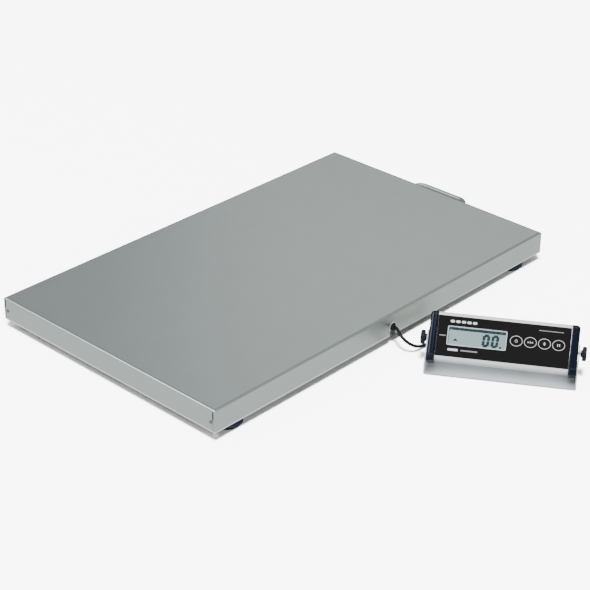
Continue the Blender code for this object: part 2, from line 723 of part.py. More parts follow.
def build_electronics(axis):
    board_front = -0.0130
    board_back = board_front + 0.0016
    size = (0.205, board_back - board_front, 0.064)
    board = box(size, (0, (board_front + board_back) / 2, OVERLAY_MIDDLE))
    main_board = make_object("main_board", board, BOARD_GREEN, axis)
    switch_front = -0.0168
    for i in range(KEY_COUNT):
        depth = board_back - 0.0005 - switch_front
        middle = (KEY_X + i * KEY_PITCH, switch_front + depth / 2, KEY_Z)
        add_lump(main_board, box((0.006, depth, 0.006), middle), axis)

    outline = rounded_outline((0.0005, -0.016), (0.0155, 0.0135), (0.007,) * 4, 4)
    rings = [[(x, y, z) for y, z in outline] for x in (-0.101, 0.0)]
    make_object("battery_pack", loft(rings), BATTERY_BLUE, axis)

    profile = [
        (0.0065, 0.0142), (0.0065, 0.0177), (0.0040, 0.0177), (0.0040, BACK + GAP),
        (0.0070, BACK + GAP), (0.0070, 0.0225), (0.0055, 0.0240), (0.0045, 0.0300),
        (0.0038, GLAND_TIP),
    ]
    gland = turned(profile, 20)
    make_object("cable_gland", gland, BLACK_PLASTIC, axis, (GLAND_X, 0, 0), (-math.pi / 2, 0, 0))


def build_knobs(axis):
    washer_near = EAR_OUTSIDE + GAP
    hub = washer_near + WASHER + GAP
    near = KNOB_MIDDLE - KNOB_THICKNESS / 2
    far = KNOB_MIDDLE + KNOB_THICKNESS / 2
    profile = [
        (0.0024, 0.1215), (KNOB_STUD, 0.1221), (KNOB_STUD, hub), (0.0065, hub), (0.0065, near),
        (KNOB_RADIUS - 0.0015, near), (KNOB_RADIUS, near + 0.0014), (KNOB_RADIUS, far - 0.0026),
        (KNOB_RADIUS - 0.0012, far - 0.0010), (KNOB_RADIUS - 0.0035, far),
    ]
    ring = [
        (0.0065, washer_near), (0.0065, washer_near + WASHER),
        (KNOB_STUD + GAP, washer_near + WASHER), (KNOB_STUD + GAP, washer_near),
    ]
    for name, side in (("left", -1), ("right", 1)):
        turn = (0, side * math.pi / 2, 0)
        make_object(f"clamp_knob_{name}", turned(profile, 24), NAVY_PLASTIC, axis, rotation=turn)
        make_object(f"clamp_washer_{name}", turned_ring(ring, 20), STEEL, axis, rotation=turn)


# ---- build ----------------------------------------------------------------------------------
clear_scene()
CUTTER = make_material("cutter", (0.8, 0.2, 0.2), 0.0, 0.5)
STAINLESS = make_material("stainless", (0.60, 0.61, 0.59), 1.0, 0.35)
STEEL = make_material("zinc_steel", (0.62, 0.63, 0.64), 1.0, 0.35)
PAINTED_STEEL = make_material("painted_steel", (0.30, 0.31, 0.32), 0.0, 0.5)
ALUMINIUM = make_material("aluminium", (0.75, 0.76, 0.77), 1.0, 0.3)
NAVY_PLASTIC = make_material("navy_plastic", (0.012, 0.020, 0.045), 0.0, 0.25)
BLACK_PLASTIC = make_material("black_plastic", (0.015, 0.015, 0.017), 0.0, 0.4)
BLACK_RUBBER = make_material("black_rubber", (0.012, 0.014, 0.020), 0.0, 0.6)
GREY_PLASTIC = make_material("grey_plastic", (0.45, 0.46, 0.46), 0.0, 0.5)
CLEAR_PLASTIC = make_material("clear_plastic", (0.9, 0.95, 0.95), 0.0, 0.05, alpha=0.3)
DISPLAY_GREY = make_material("display_grey", (0.55, 0.66, 0.64), 0.0, 0.4)
BOARD_GREEN = make_material("board_green", (0.02, 0.16, 0.07), 0.0, 0.5)
BATTERY_BLUE = make_material("battery_blue", (0.05, 0.10, 0.30), 0.0, 0.4)

platform_middle = make_empty("platform", (PLATFORM_X, PLATFORM_Y, 0.0))
stand_place = (PLATFORM_X + STAND_X, PLATFORM_Y + STAND_Y, 0.0)
stand_floor = make_empty("stand", stand_place, (0.0, 0.0, STAND_TURN))
tilt_axis = make_empty(
    "tilt_axis", (stand_place[0], stand_place[1], AXIS_HEIGHT), (-TILT, 0.0, STAND_TURN)
)

build_pan(platform_middle)
build_corner_screws(platform_middle)
build_frame(platform_middle)
foot_number = 0
for foot_side in (-1, 1):
    for foot_end in (-1, 1):
        foot_number += 1
        build_foot(platform_middle, foot_number, foot_side, foot_end)
build_junction_box(platform_middle)
build_handle(platform_middle)
build_cable(platform_middle, stand_floor)
build_stand(stand_floor)
build_housing(tilt_axis)
build_end_caps(tilt_axis)
build_face(tilt_axis)
build_electronics(tilt_axis)
build_knobs(tilt_axis)
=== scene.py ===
"""The looks of the animal weighing scale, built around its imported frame. Metres, +Z up."""

import json
import math

import bmesh
import bpy
from mathutils import Matrix, Vector


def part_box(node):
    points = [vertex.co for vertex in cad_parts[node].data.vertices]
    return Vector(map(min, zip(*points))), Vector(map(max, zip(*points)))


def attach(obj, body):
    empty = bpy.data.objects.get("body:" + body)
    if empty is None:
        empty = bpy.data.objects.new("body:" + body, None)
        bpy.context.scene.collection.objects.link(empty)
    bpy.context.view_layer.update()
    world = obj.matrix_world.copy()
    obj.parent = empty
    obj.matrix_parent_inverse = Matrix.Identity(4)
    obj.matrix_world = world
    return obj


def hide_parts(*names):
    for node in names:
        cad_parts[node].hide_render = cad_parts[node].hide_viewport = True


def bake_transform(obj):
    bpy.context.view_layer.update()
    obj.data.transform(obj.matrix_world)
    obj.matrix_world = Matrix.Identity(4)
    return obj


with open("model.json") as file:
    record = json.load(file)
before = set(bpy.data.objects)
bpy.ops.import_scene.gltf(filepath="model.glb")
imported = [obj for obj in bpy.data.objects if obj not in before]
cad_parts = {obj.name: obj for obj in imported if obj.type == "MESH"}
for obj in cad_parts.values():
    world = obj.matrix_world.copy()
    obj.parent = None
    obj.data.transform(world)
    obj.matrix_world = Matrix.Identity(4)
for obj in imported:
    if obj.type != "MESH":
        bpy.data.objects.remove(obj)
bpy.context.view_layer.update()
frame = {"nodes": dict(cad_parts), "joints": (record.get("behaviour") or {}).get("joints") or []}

# ---- places, read from the frame ----
pan_low, pan_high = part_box("platform_pan")
DECK_TOP = pan_high.z
SKIRT_BOTTOM = pan_low.z
HALF_LENGTH = (pan_high.x - pan_low.x) / 2
HALF_WIDTH = (pan_high.y - pan_low.y) / 2
PLATFORM = Matrix.Translation(((pan_low.x + pan_high.x) / 2, (pan_low.y + pan_high.y) / 2, 0.0))

joints = {joint["name"]: joint for joint in frame["joints"]}
AXIS_PLACE = Vector(joints["indicator_tilt"]["pos_m"])
across = -Vector(joints["indicator_tilt"]["axis"])
STAND_TURN = math.atan2(across.y, across.x)
TILT = math.asin(-joints["key_1_press"]["axis"][2])
AXIS_HEIGHT = AXIS_PLACE.z
STAND = Matrix.Translation((AXIS_PLACE.x, AXIS_PLACE.y, 0.0)) @ Matrix.Rotation(STAND_TURN, 4, "Z")
# On the display unit X runs along the face, +Y points backwards and Z up the face.
UNIT = (
    Matrix.Translation(AXIS_PLACE)
    @ Matrix.Rotation(STAND_TURN, 4, "Z")
    @ Matrix.Rotation(-TILT, 4, "X")
)
UNIT_TURN = (-TILT, 0.0, STAND_TURN)

# ---- driving dimensions ----
SHEET = 0.0015
BEND = 0.0028
HEM = 0.0004                  # the hem stands this far out of the skirt
CREASE = 0.0003               # depth of the press mark along the deck's bends
CORNER = 0.0012
SEAM_FROM_CORNER = 0.0050     # where a short flange ends
RELIEF_HEIGHT = 0.0170        # the wider top of a corner seam
HEM_HEIGHT = 0.0032
SLOT_WIDTH = 0.016
SLOT_TOP = 0.043

CABLE_RADIUS = 0.003
COIL_BACK = 0.106
COIL_OUTSIDE = 0.039          # the outermost turn's middle line
COIL_LOW = 0.0039
GLAND_X = 0.039
GLAND_TIP = 0.036
# The cable's route, as in the CAD: from the platform's middle, then behind the tilt axis.
CABLE_ROUTE = [
    (0.0000, -0.2806, 0.0350), (-0.0004, -0.2840, 0.0350), (-0.0024, -0.2880, 0.0348),
    (-0.0066, -0.2945, 0.0337), (-0.0100, -0.3030, 0.0310), (-0.0105, -0.3130, 0.0262),
    (-0.0060, -0.3205, 0.0203), (0.0024, -0.3250, 0.0142), (0.0130, -0.3262, 0.0094),
    (0.0245, -0.3262, 0.0058), (0.0370, -0.3260, 0.0036), (0.0500, -0.3250, 0.0030),
    (0.0750, -0.3205, 0.0030), (0.1000, -0.3160, 0.0030), (0.1220, -0.3155, 0.0030),
    (0.1410, -0.3235, 0.0030), (0.1560, -0.3415, 0.0031), (0.1672, -0.3597, 0.0035),
    (0.1775, -0.3761, 0.0039),
]
TAIL_ROUTE = [
    (0.0839, 0.0099), (0.0760, 0.0072), (0.0680, 0.0046), (0.0605, 0.0043), (0.0530, 0.0066),
    (0.0460, 0.0108), (0.0395, 0.0159), (0.0335, 0.0209), (0.0278, 0.0257),
]

STAND_LENGTH = 0.267
STAND_DEPTH = 0.0932
STAND_SHEET = 0.002
STAND_BASE = 0.0015
EAR_FRONT = 0.024
EAR_RADIUS = 0.015

HOUSING_LENGTH = 0.233
HOUSING_LOW = -0.040
HOUSING_HIGH = 0.046
FRONT = -0.020
BACK = 0.020
WALL = 0.002
FRONT_ROUND = 0.006
BACK_ROUND = 0.012
FACE = FRONT + 0.0014
INNER_FACE = FACE + WALL
CAP_LENGTH = 0.0145
OVERLAY_FRONT = -0.0194
OVERLAY_LENGTH = 0.2324
OVERLAY_HEIGHT = 0.0725
OVERLAY_MIDDLE = 0.003
WINDOW_X = -0.0462
WINDOW_Z = 0.0049
WINDOW_LENGTH = 0.105
WINDOW_HEIGHT = 0.0352
KEY_X = 0.0226
KEY_PITCH = 0.0245
KEY_Z = 0.0067
KEY_LENGTH = 0.0228
KEY_HEIGHT = 0.0196
KNOB_RADIUS = 0.013
KNOB_NEAR = 0.1378
KNOB_FAR = 0.1458
KEY_FRONT = -0.0196
LENS_BACK = -0.0180
LENS_FRONT = -0.0190
PRINT = 0.00004               # thickness of printed marks
RECESS = 0.0006               # width of a cross recess
LEAD_RADIUS = 0.0019
LEAD_HEIGHT = 0.0430          # where the load cells' leads enter the junction box

CAMERA_LENS = 105.6           # millimetres, on a sensor 36 mm wide
CAMERA_PLACE = (-2.1181, -1.8216, 1.6020)
CAMERA_RIGHT = Vector((0.68531, -0.72820, 0.00894))
CAMERA_UP = Vector((0.34848, 0.33869, 0.87398))
FLOOR_REACH = 30.0


# ---- mesh helpers ----
def loft(rings, closed=False):
    """Skin rings of equally many points. A closed loft joins its last ring to its first."""
    bm = bmesh.new()
    rows = [[bm.verts.new(point) for point in ring] for ring in rings]
    pairs = list(zip(rows, rows[1:]))
    if closed:
        pairs.append((rows[-1], rows[0]))
    count = len(rows[0])
    for near, far in pairs:
        for i in range(count):
            j = (i + 1) % count
            bm.faces.new((near[i], near[j], far[j], far[i]))
    if not closed:
        bm.faces.new(rows[0])
        bm.faces.new(rows[-1])
    bmesh.ops.recalc_face_normals(bm, faces=bm.faces)
    return bm


def circle(radius, height, segments):
    angles = [2 * math.pi * i / segments for i in range(segments)]
    return [(radius * math.cos(a), radius * math.sin(a), height) for a in angles]


def turned(profile, segments=48, closed=False):
    """A solid of (radius, height) steps around Z, or a ring whose section is the profile."""
    return loft([circle(radius, height, segments) for radius, height in profile], closed)


def rounded(low, high, radii, steps=8):
    """A rounded rectangle. radii: at low-low, high-low, high-high and low-high."""
    corners = [
        (low[0] + radii[0], low[1] + radii[0], radii[0], math.pi),
        (high[0] - radii[1], low[1] + radii[1], radii[1], 1.5 * math.pi),
        (high[0] - radii[2], high[1] - radii[2], radii[2], 0.0),
        (low[0] + radii[3], high[1] - radii[3], radii[3], 0.5 * math.pi),
    ]
    outline = []
    for x, y, radius, start in corners:
        for i in range(steps + 1):
            angle = start + 0.5 * math.pi * i / steps
            outline.append((x + radius * math.cos(angle), y + radius * math.sin(angle)))
    return outline


def panel(middle, size, radius, steps=8):
    """A rounded rectangle around a middle."""
    low = (middle[0] - size[0] / 2, middle[1] - size[1] / 2)
    high = (middle[0] + size[0] / 2, middle[1] + size[1] / 2)
    return rounded(low, high, (radius,) * 4, steps)


def ellipse(middle, length, height, segments=64):
    angles = [2 * math.pi * i / segments for i in range(segments)]
    return [
        (middle[0] + length / 2 * math.cos(a), middle[1] + height / 2 * math.sin(a)) for a in angles
    ]


def shrunk(outline, middle, inset):
    """The outline with every point moved towards a middle."""
    points = []
    for point in outline:
        offset = Vector(point) - middle
        points.append(middle + offset * (1 - inset / offset.length))
    return points


def slab(outline, front, back):
    """An outline in X and Z, extruded along Y."""
    return loft([[(x, y, z) for x, z in outline] for y in (front, back)])


def frame_slab(outer, inner, front, back):
    """The ring between two outlines of equally many points, extruded along Y."""
    rings = []
    for outline, y in ((outer, front), (outer, back), (inner, back), (inner, front)):
        rings.append([(x, y, z) for x, z in outline])
    return loft(rings, closed=True)


def block(size, middle):
    bm = bmesh.new()
    bmesh.ops.create_cube(bm, matrix=Matrix.Translation(middle) @ Matrix.Diagonal((*size, 1.0)))
    return bm


def join(parts):
    """Several bmeshes as one."""
    whole = bmesh.new()
    for part in parts:
        mesh = bpy.data.meshes.new("part")
        part.to_mesh(mesh)
        part.free()
        whole.from_mesh(mesh)
        bpy.data.meshes.remove(mesh)
    return whole


def moved(bm, matrix):
    bmesh.ops.transform(bm, matrix=matrix, verts=bm.verts)
    if matrix.determinant() < 0:
        bmesh.ops.reverse_faces(bm, faces=bm.faces)
    return bm


def show(thing):
    bpy.context.scene.collection.objects.link(thing)


def boolean(bm, other, operation="DIFFERENCE"):
    """bm with another closed solid taken away, or only what both share."""
    things = []
    for part in (bm, other):
        mesh = bpy.data.meshes.new("work")
        part.to_mesh(mesh)
        part.free()
        thing = bpy.data.objects.new("work", mesh)
        show(thing)
        things.append(thing)
    cut = things[0].modifiers.new("cut", "BOOLEAN")
    cut.operation = operation
    cut.solver = "EXACT"
    cut.object = things[1]
    result = bmesh.new()
    result.from_object(things[0], bpy.context.evaluated_depsgraph_get())
    for thing in things:
        mesh = thing.data
        bpy.data.objects.remove(thing)
        bpy.data.meshes.remove(mesh)
    return result


def soften(bm, width, segments=2, sharper_than=30.0):
    """Round every edge that is sharper than an angle."""
    limit = math.radians(sharper_than)
    bmesh.ops.dissolve_limit(
        bm, angle_limit=math.radians(0.5), verts=bm.verts, edges=bm.edges, delimit=set()
    )
    edges = [e for e in bm.edges if e.is_manifold and e.calc_face_angle(0.0) > limit]
    bmesh.ops.bevel(
        bm, geom=edges, offset=width, segments=segments, profile=0.5, affect="EDGES",
        clamp_overlap=True,
    )
    return bm


def quarter(axis, turns=1):
    """A rotation by so many quarter turns."""
    return Matrix.Rotation(turns * math.pi / 2, 4, axis)


def cross_recess(head, length, depth, height):
    """A screw head with a cross cut into it at a height."""
    for size in ((length, RECESS, depth), (RECESS, length, depth)):
        head = boolean(head, block(size, (0.0, 0.0, height)))
    return head


def smooth_route(points, spacing):
    """Evenly spaced points on a smooth curve through the route's points."""
    route = [Vector(point) for point in points]
    padded = [2 * route[0] - route[1], *route, 2 * route[-1] - route[-2]]
    fine = []
    for before, start, end, after in zip(padded, padded[1:], padded[2:], padded[3:]):
        for i in range(8):
            t = i / 8
            bend = 2 * before - 5 * start + 4 * end - after
            twist = 3 * start - before - 3 * end + after
            fine.append(0.5 * (2 * start + (end - before) * t + bend * t**2 + twist * t**3))
    fine.append(route[-1])
    lengths = [0.0]
    for start, end in zip(fine, fine[1:]):
        lengths.append(lengths[-1] + (end - start).length)
    count = max(2, round(lengths[-1] / spacing))
    even = []
    k = 0
    for i in range(count + 1):
        distance = lengths[-1] * i / count
        while k < len(fine) - 2 and lengths[k + 1] < distance:
            k += 1
        part = (distance - lengths[k]) / (lengths[k + 1] - lengths[k])
        even.append(fine[k].lerp(fine[k + 1], part))
    return even


def tube(points, radii, segments=16):
    """A round bar along a smooth line, without twist."""
    rings = []
    side = None
    for i, point in enumerate(points):
        ahead = (points[min(i + 1, len(points) - 1)] - points[max(i - 1, 0)]).normalized()
        if side is None:
            side = ahead.orthogonal()
        side = (side - ahead * side.dot(ahead)).normalized()
        other = ahead.cross(side)
        ring = []
        for k in range(segments):
            angle = 2 * math.pi * k / segments
            ring.append(point + radii[i] * (side * math.cos(angle) + other * math.sin(angle)))
        rings.append(ring)
    return loft(rings)


def arc(middle, radius, start, end, steps):
    """Points on an arc, angles in degrees."""
    angles = [math.radians(start + (end - start) * i / steps) for i in range(steps + 1)]
    return [(middle[0] + radius * math.cos(a), middle[1] + radius * math.sin(a)) for a in angles]


def piece(name, bm, material, body, place=Matrix(), replaces=(), sharp=35.0):
    mesh = bpy.data.meshes.new(name)
    bm.to_mesh(mesh)
    bm.free()
    mesh.transform(place)
    mesh.materials.append(material)
    mesh.shade_smooth()
    mesh.set_sharp_from_angle(angle=math.radians(sharp))
    thing = bpy.data.objects.new(name, mesh)
    show(thing)
    normals = thing.modifiers.new("normals", "WEIGHTED_NORMAL")
    normals.keep_sharp = True
    if body:
        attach(thing, body)
    if replaces:
        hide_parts(*replaces)
    return thing


def unit_piece(name, bm, material, replaces=(), sharp=35.0):
    """A piece of the display unit, made in the unit's own axes."""
    return piece(name, bm, material, "indicator", UNIT, replaces, sharp)


# ---- materials ----
def make_material(name, color, metallic, roughness, cells, turn=(0.0, 0.0, 0.0), shade=0.05,
                  spread=0.06, bump=0.04, patch=0.05, **sockets):
    """A surface with a grain of the given cell sizes, and faint larger patches.
    shade and spread are how much the colour and the roughness vary."""
    material = bpy.data.materials.new(name)
    material.use_nodes = True
    nodes = material.node_tree.nodes
    link = material.node_tree.links.new
    shader = nodes["Principled BSDF"]
    shader.inputs["Metallic"].default_value = metallic
    for socket, value in sockets.items():
        shader.inputs[socket.replace("_", " ")].default_value = value
    coordinates = nodes.new("ShaderNodeTexCoord")

    def noise(size, detail):
        mapping = nodes.new("ShaderNodeMapping")
        mapping.vector_type = "TEXTURE"
        mapping.inputs["Rotation"].default_value = turn
        mapping.inputs["Scale"].default_value = size
        texture = nodes.new("ShaderNodeTexNoise")
        texture.inputs["Scale"].default_value = 1.0
        texture.inputs["Detail"].default_value = detail
        link(coordinates.outputs["Object"], mapping.inputs["Vector"])
        link(mapping.outputs["Vector"], texture.inputs["Vector"])
        return texture.outputs["Fac"]

    grain = noise(cells, 3.0)
    patches = noise((patch,) * 3, 2.0)
    blend = nodes.new("ShaderNodeMix")
    blend.inputs[0].default_value = 0.5
    link(grain, blend.inputs[2])
    link(patches, blend.inputs[3])

    tint = nodes.new("ShaderNodeMix")
    tint.data_type = "RGBA"
    tint.inputs[6].default_value = (*[c * (1 - 2 * shade) for c in color], 1.0)
    tint.inputs[7].default_value = (*[min(1.0, c * (1 + 2 * shade)) for c in color], 1.0)
    link(blend.outputs[0], tint.inputs[0])
    link(tint.outputs[2], shader.inputs["Base Color"])

    rough = nodes.new("ShaderNodeMapRange")
    rough.inputs["From Min"].default_value = 0.25
    rough.inputs["From Max"].default_value = 0.75
    rough.inputs["To Min"].default_value = max(0.02, roughness - spread)
    rough.inputs["To Max"].default_value = min(1.0, roughness + spread)
    link(grain, rough.inputs["Value"])
    link(rough.outputs["Result"], shader.inputs["Roughness"])

    relief = nodes.new("ShaderNodeBump")
    relief.inputs["Strength"].default_value = bump
    relief.inputs["Distance"].default_value = 0.0005
    link(grain, relief.inputs["Height"])
    link(relief.outputs["Normal"], shader.inputs["Normal"])
    return material


DECK_STEEL = make_material(
    "satin_stainless", (0.552, 0.614, 0.594), 1.0, 0.34, (0.060, 0.0005, 0.0005), bump=0.10,
    shade=0.03,
)
# Near-white, mostly diffuse steel: a painted highlight on the hem along the skirts' bottom and
# round the slot's cut edge.
HIGHLIGHT_STEEL = make_material(
    "painted_edge_highlight", (0.97, 0.99, 0.97), 0.2, 0.30, (0.040, 0.0006, 0.0006), shade=0.02
)
# A darker steel: painted shade in the crease along the deck's bends.
CREASE_SHADE_STEEL = make_material(
    "painted_crease_shade", (0.32, 0.37, 0.36), 1.0, 0.42, (0.040, 0.0006, 0.0006), shade=0.03
)
BAR_STEEL = make_material("handle_bar", (0.36, 0.40, 0.40), 1.0, 0.42, (0.0008, 0.020, 0.0008))
ZINC = make_material(
    "zinc_plate", (0.60, 0.61, 0.62), 1.0, 0.36, (0.0012,) * 3, patch=0.006, shade=0.08
)
DARK_SCREW = make_material("screw_steel", (0.30, 0.31, 0.32), 1.0, 0.40, (0.0010,) * 3)
BRACKET_STEEL = make_material(
    "bracket_stainless", (0.74, 0.78, 0.80), 0.25, 0.50, (0.050, 0.0005, 0.0005),
    turn=(0.0, 0.0, STAND_TURN), bump=0.08, shade=0.03,
)
FRAME_PAINT = make_material("frame_paint", (0.22, 0.23, 0.24), 0.0, 0.50, (0.0011,) * 3, bump=0.25)
CELL_ALUMINIUM = make_material(
    "cell_aluminium", (0.72, 0.73, 0.74), 1.0, 0.30, (0.012, 0.0004, 0.0004)
)
ANODISED = make_material(
    "anodised_aluminium", (0.96, 0.97, 0.98), 0.15, 0.30, (0.080, 0.0005, 0.0005), turn=UNIT_TURN,
    bump=0.05, shade=0.015,
)
NAVY = make_material(
    "navy_gloss", (0.0016, 0.0052, 0.0160), 0.0, 0.12, (0.0020,) * 3, patch=0.02, shade=0.15,
    bump=0.02, Specular_IOR_Level=0.30,
)
FOOT_NAVY = make_material(
    "foot_plastic", (0.005, 0.018, 0.050), 0.0, 0.34, (0.0012,) * 3, shade=0.15, bump=0.10
)
RUBBER = make_material(
    "black_rubber", (0.006, 0.006, 0.007), 0.0, 0.62, (0.0007,) * 3, bump=0.20,
    Specular_IOR_Level=0.3,
)
JACKET = make_material(
    "cable_jacket", (0.0035, 0.0060, 0.0120), 0.0, 0.36, (0.0015,) * 3, patch=0.03, shade=0.12,
    bump=0.08, Specular_IOR_Level=0.3,
)
NYLON = make_material("black_nylon", (0.012, 0.012, 0.013), 0.0, 0.42, (0.0009,) * 3, bump=0.10)
FILM = make_material(
    "overlay_film", (0.0050, 0.0046, 0.0050), 0.0, 0.55, (0.00035,) * 3, shade=0.10, bump=0.12,
    patch=0.03, Specular_IOR_Level=0.12,
)
WHITE_PRINT = make_material(
    "white_print", (0.85, 0.86, 0.87), 0.0, 0.50, (0.0006,) * 3, shade=0.02, bump=0.03
)
GREY_PRINT = make_material(
    "grey_print", (0.30, 0.31, 0.32), 0.0, 0.50, (0.0006,) * 3, shade=0.03, bump=0.03
)
DISPLAY = make_material(
    "display_glass", (0.42, 0.56, 0.54), 0.0, 0.22, (0.0050,) * 3, patch=0.06, shade=0.02, bump=0.0
)
BEZEL = make_material(
    "display_border", (0.90, 0.98, 0.97), 0.0, 0.30, (0.0020,) * 3, shade=0.02, bump=0.02
)
# Dark teal for the digits, and a painted shadow at the display's top and left edge.
SEGMENT_AND_SHADOW = make_material(
    "display_segments_and_painted_shadow", (0.001, 0.026, 0.040), 0.0, 0.30, (0.0020,) * 3, shade=0.08, bump=0.0
)
LENS = make_material(
    "clear_lens", (0.95, 0.98, 0.98), 0.0, 0.04, (0.0100,) * 3, shade=0.0, spread=0.01, bump=0.0,
    Transmission_Weight=1.0, IOR=1.15,
)
BOARD = make_material("circuit_board", (0.02, 0.16, 0.07), 0.0, 0.40, (0.0015,) * 3, shade=0.15)
SLEEVE = make_material("battery_sleeve", (0.05, 0.10, 0.30), 0.0, 0.35, (0.0030,) * 3)
MOULDED = make_material("moulded_grey", (0.40, 0.41, 0.41), 0.0, 0.50, (0.0009,) * 3, bump=0.15)


# ---- camera, light and floor ----
def build_camera():
    data = bpy.data.cameras.new("camera")
    data.sensor_width = 36.0
    data.lens = CAMERA_LENS
    camera = bpy.data.objects.new("camera", data)
    turn = Matrix((CAMERA_RIGHT, CAMERA_UP, CAMERA_RIGHT.cross(CAMERA_UP))).transposed()
    camera.matrix_world = Matrix.Translation(CAMERA_PLACE) @ turn.to_4x4()
    show(camera)
    bpy.context.scene.camera = camera


def add_light(name, place, target, size, power):
    data = bpy.data.lights.new(name, "AREA")
    data.shape = "RECTANGLE"
    data.size, data.size_y = size
    data.energy = power
    light = bpy.data.objects.new(name, data)
    light.location = place
    aim = Vector(target) - Vector(place)
    light.rotation_euler = aim.to_track_quat("-Z", "Y").to_euler()
    show(light)


def build_studio():
    world = bpy.data.worlds.new("studio")
    world.use_nodes = True
    background = world.node_tree.nodes["Background"]
    background.inputs["Color"].default_value = (0.95, 0.98, 1.0, 1.0)
    background.inputs["Strength"].default_value = 0.42
    bpy.context.scene.world = world

    add_light("key_light", (-2.2, 1.6, 2.6), (0.0, 0.1, 0.0), (2.4, 2.4), 95.0)
    add_light("top_light", (-0.6, -0.8, 3.2), (0.0, 0.0, 0.0), (2.6, 2.6), 60.0)
    add_light("back_light", (3.4, 2.6, 2.6), (0.1, 0.1, 0.0), (2.2, 1.6), 6.5)
    add_light("front_light", (-1.2, -3.2, 1.3), (0.1, -0.2, 0.0), (2.4, 1.6), 55.0)

    bm = bmesh.new()
    bmesh.ops.create_grid(bm, x_segments=1, y_segments=1, size=FLOOR_REACH)
    mesh = bpy.data.meshes.new("floor")
    bm.to_mesh(mesh)
    bm.free()
    mesh.materials.append(floor_material())
    floor = bpy.data.objects.new("floor", mesh)
    show(floor)

    # A soft sun that lights only the floor washes it out to white, but for the shadow.
    wash = bpy.data.lights.new("floor_wash", "SUN")
    wash.energy = 26.0
    wash.angle = math.radians(12.0)
    light = bpy.data.objects.new("floor_wash", wash)
    light.rotation_euler = Vector((0.30, 0.27, -1.0)).to_track_quat("-Z", "Y").to_euler()
    show(light)
    washed = bpy.data.collections.new("washed")
    washed.objects.link(floor)
    light.light_linking.receiver_collection = washed


def floor_material():
    """White where it is seen directly, and dull to all other rays, so it hardly lights the part."""
    material = bpy.data.materials.new("floor_white")
    material.use_nodes = True
    nodes = material.node_tree.nodes
    link = material.node_tree.links.new
    nodes.remove(nodes["Principled BSDF"])
    seen = nodes.new("ShaderNodeBsdfDiffuse")
    seen.inputs["Color"].default_value = (0.90, 0.90, 0.90, 1.0)
    reflected = nodes.new("ShaderNodeBsdfDiffuse")
    reflected.inputs["Color"].default_value = (0.105, 0.105, 0.102, 1.0)
    rays = nodes.new("ShaderNodeLightPath")
    mix = nodes.new("ShaderNodeMixShader")
    link(rays.outputs["Is Camera Ray"], mix.inputs[0])
    link(reflected.outputs[0], mix.inputs[1])
    link(seen.outputs[0], mix.inputs[2])
    link(mix.outputs[0], nodes["Material Output"].inputs["Surface"])
    return material


# ---- the cable ----
def ease(value):
    """0 before 0, 1 after 1, smooth between."""
    value = min(max(value, 0.0), 1.0)
    return value * value * (3 - 2 * value)


def coil_point(turn):
    """Where the winding is after so many turns, clockwise from the coil's back. It winds in,
    climbs a layer and winds out again."""
    step = 2 * CABLE_RADIUS
    inward = ease((turn - 0.80) / 0.18) + ease((turn - 1.80) / 0.18)
    outward = ease((turn - 3.30) / 0.20) + ease((turn - 4.30) / 0.20)
    radius = COIL_OUTSIDE + step * (outward - inward)
    height = COIL_LOW + step * ease((turn - 2.55) / 0.20)
    angle = math.pi / 2 - 2 * math.pi * turn
    return STAND @ Vector((radius * math.cos(angle), COIL_BACK + radius * math.sin(angle), height))


def build_cable():
    route = [PLATFORM @ Vector(point) for point in CABLE_ROUTE]
    per_turn = 24
    turns = 5.25
    route += [coil_point(i / per_turn) for i in range(1, round(turns * per_turn) + 1)]
    route += [STAND @ Vector((GLAND_X, back, height)) for back, height in TAIL_ROUTE]
    path = smooth_route(route, 0.004)
    bm = tube(path, [CABLE_RADIUS] * len(path))
    cable = piece("signal_cable", bm, JACKET, None)
    # Only the stretch between the coil and the unit lies beyond the start.
    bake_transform(cable)
    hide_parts("cable_run", "cable_coil", "cable_tail")

    tie = build_tie()


def build_tie():
    """A strap round the coil's left side, with its head on top."""
    low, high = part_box("cable_tie")
    top = high.z
    bottom = low.z
    strap = 0.0006
    near = COIL_OUTSIDE - 4 * CABLE_RADIUS - CABLE_RADIUS - 0.0006
    far = COIL_OUTSIDE + CABLE_RADIUS + 0.0006
    outer = rounded((-far, bottom), (-near, top), (0.0030,) * 4, 6)
    inner = rounded((-far + strap, bottom + strap), (-near - strap, top - strap), (0.0024,) * 4, 6)
    loop = frame_slab(outer, inner, -0.0024, 0.0024)
    head = soften(block((0.0060, 0.0062, 0.0030), (-near - 0.0068, 0.0, top + 0.0010)), 0.0006, 2)
    end = soften(block((0.0100, 0.0042, 0.0008), (-near + 0.0006, 0.0, top + 0.0010)), 0.0002, 1)
    place = STAND @ Matrix.Translation((0.0, COIL_BACK, 0.0))
    return piece(
        "coil_tie", join([loop, head, end]), NYLON, "platform", place, ["cable_tie"]
    )


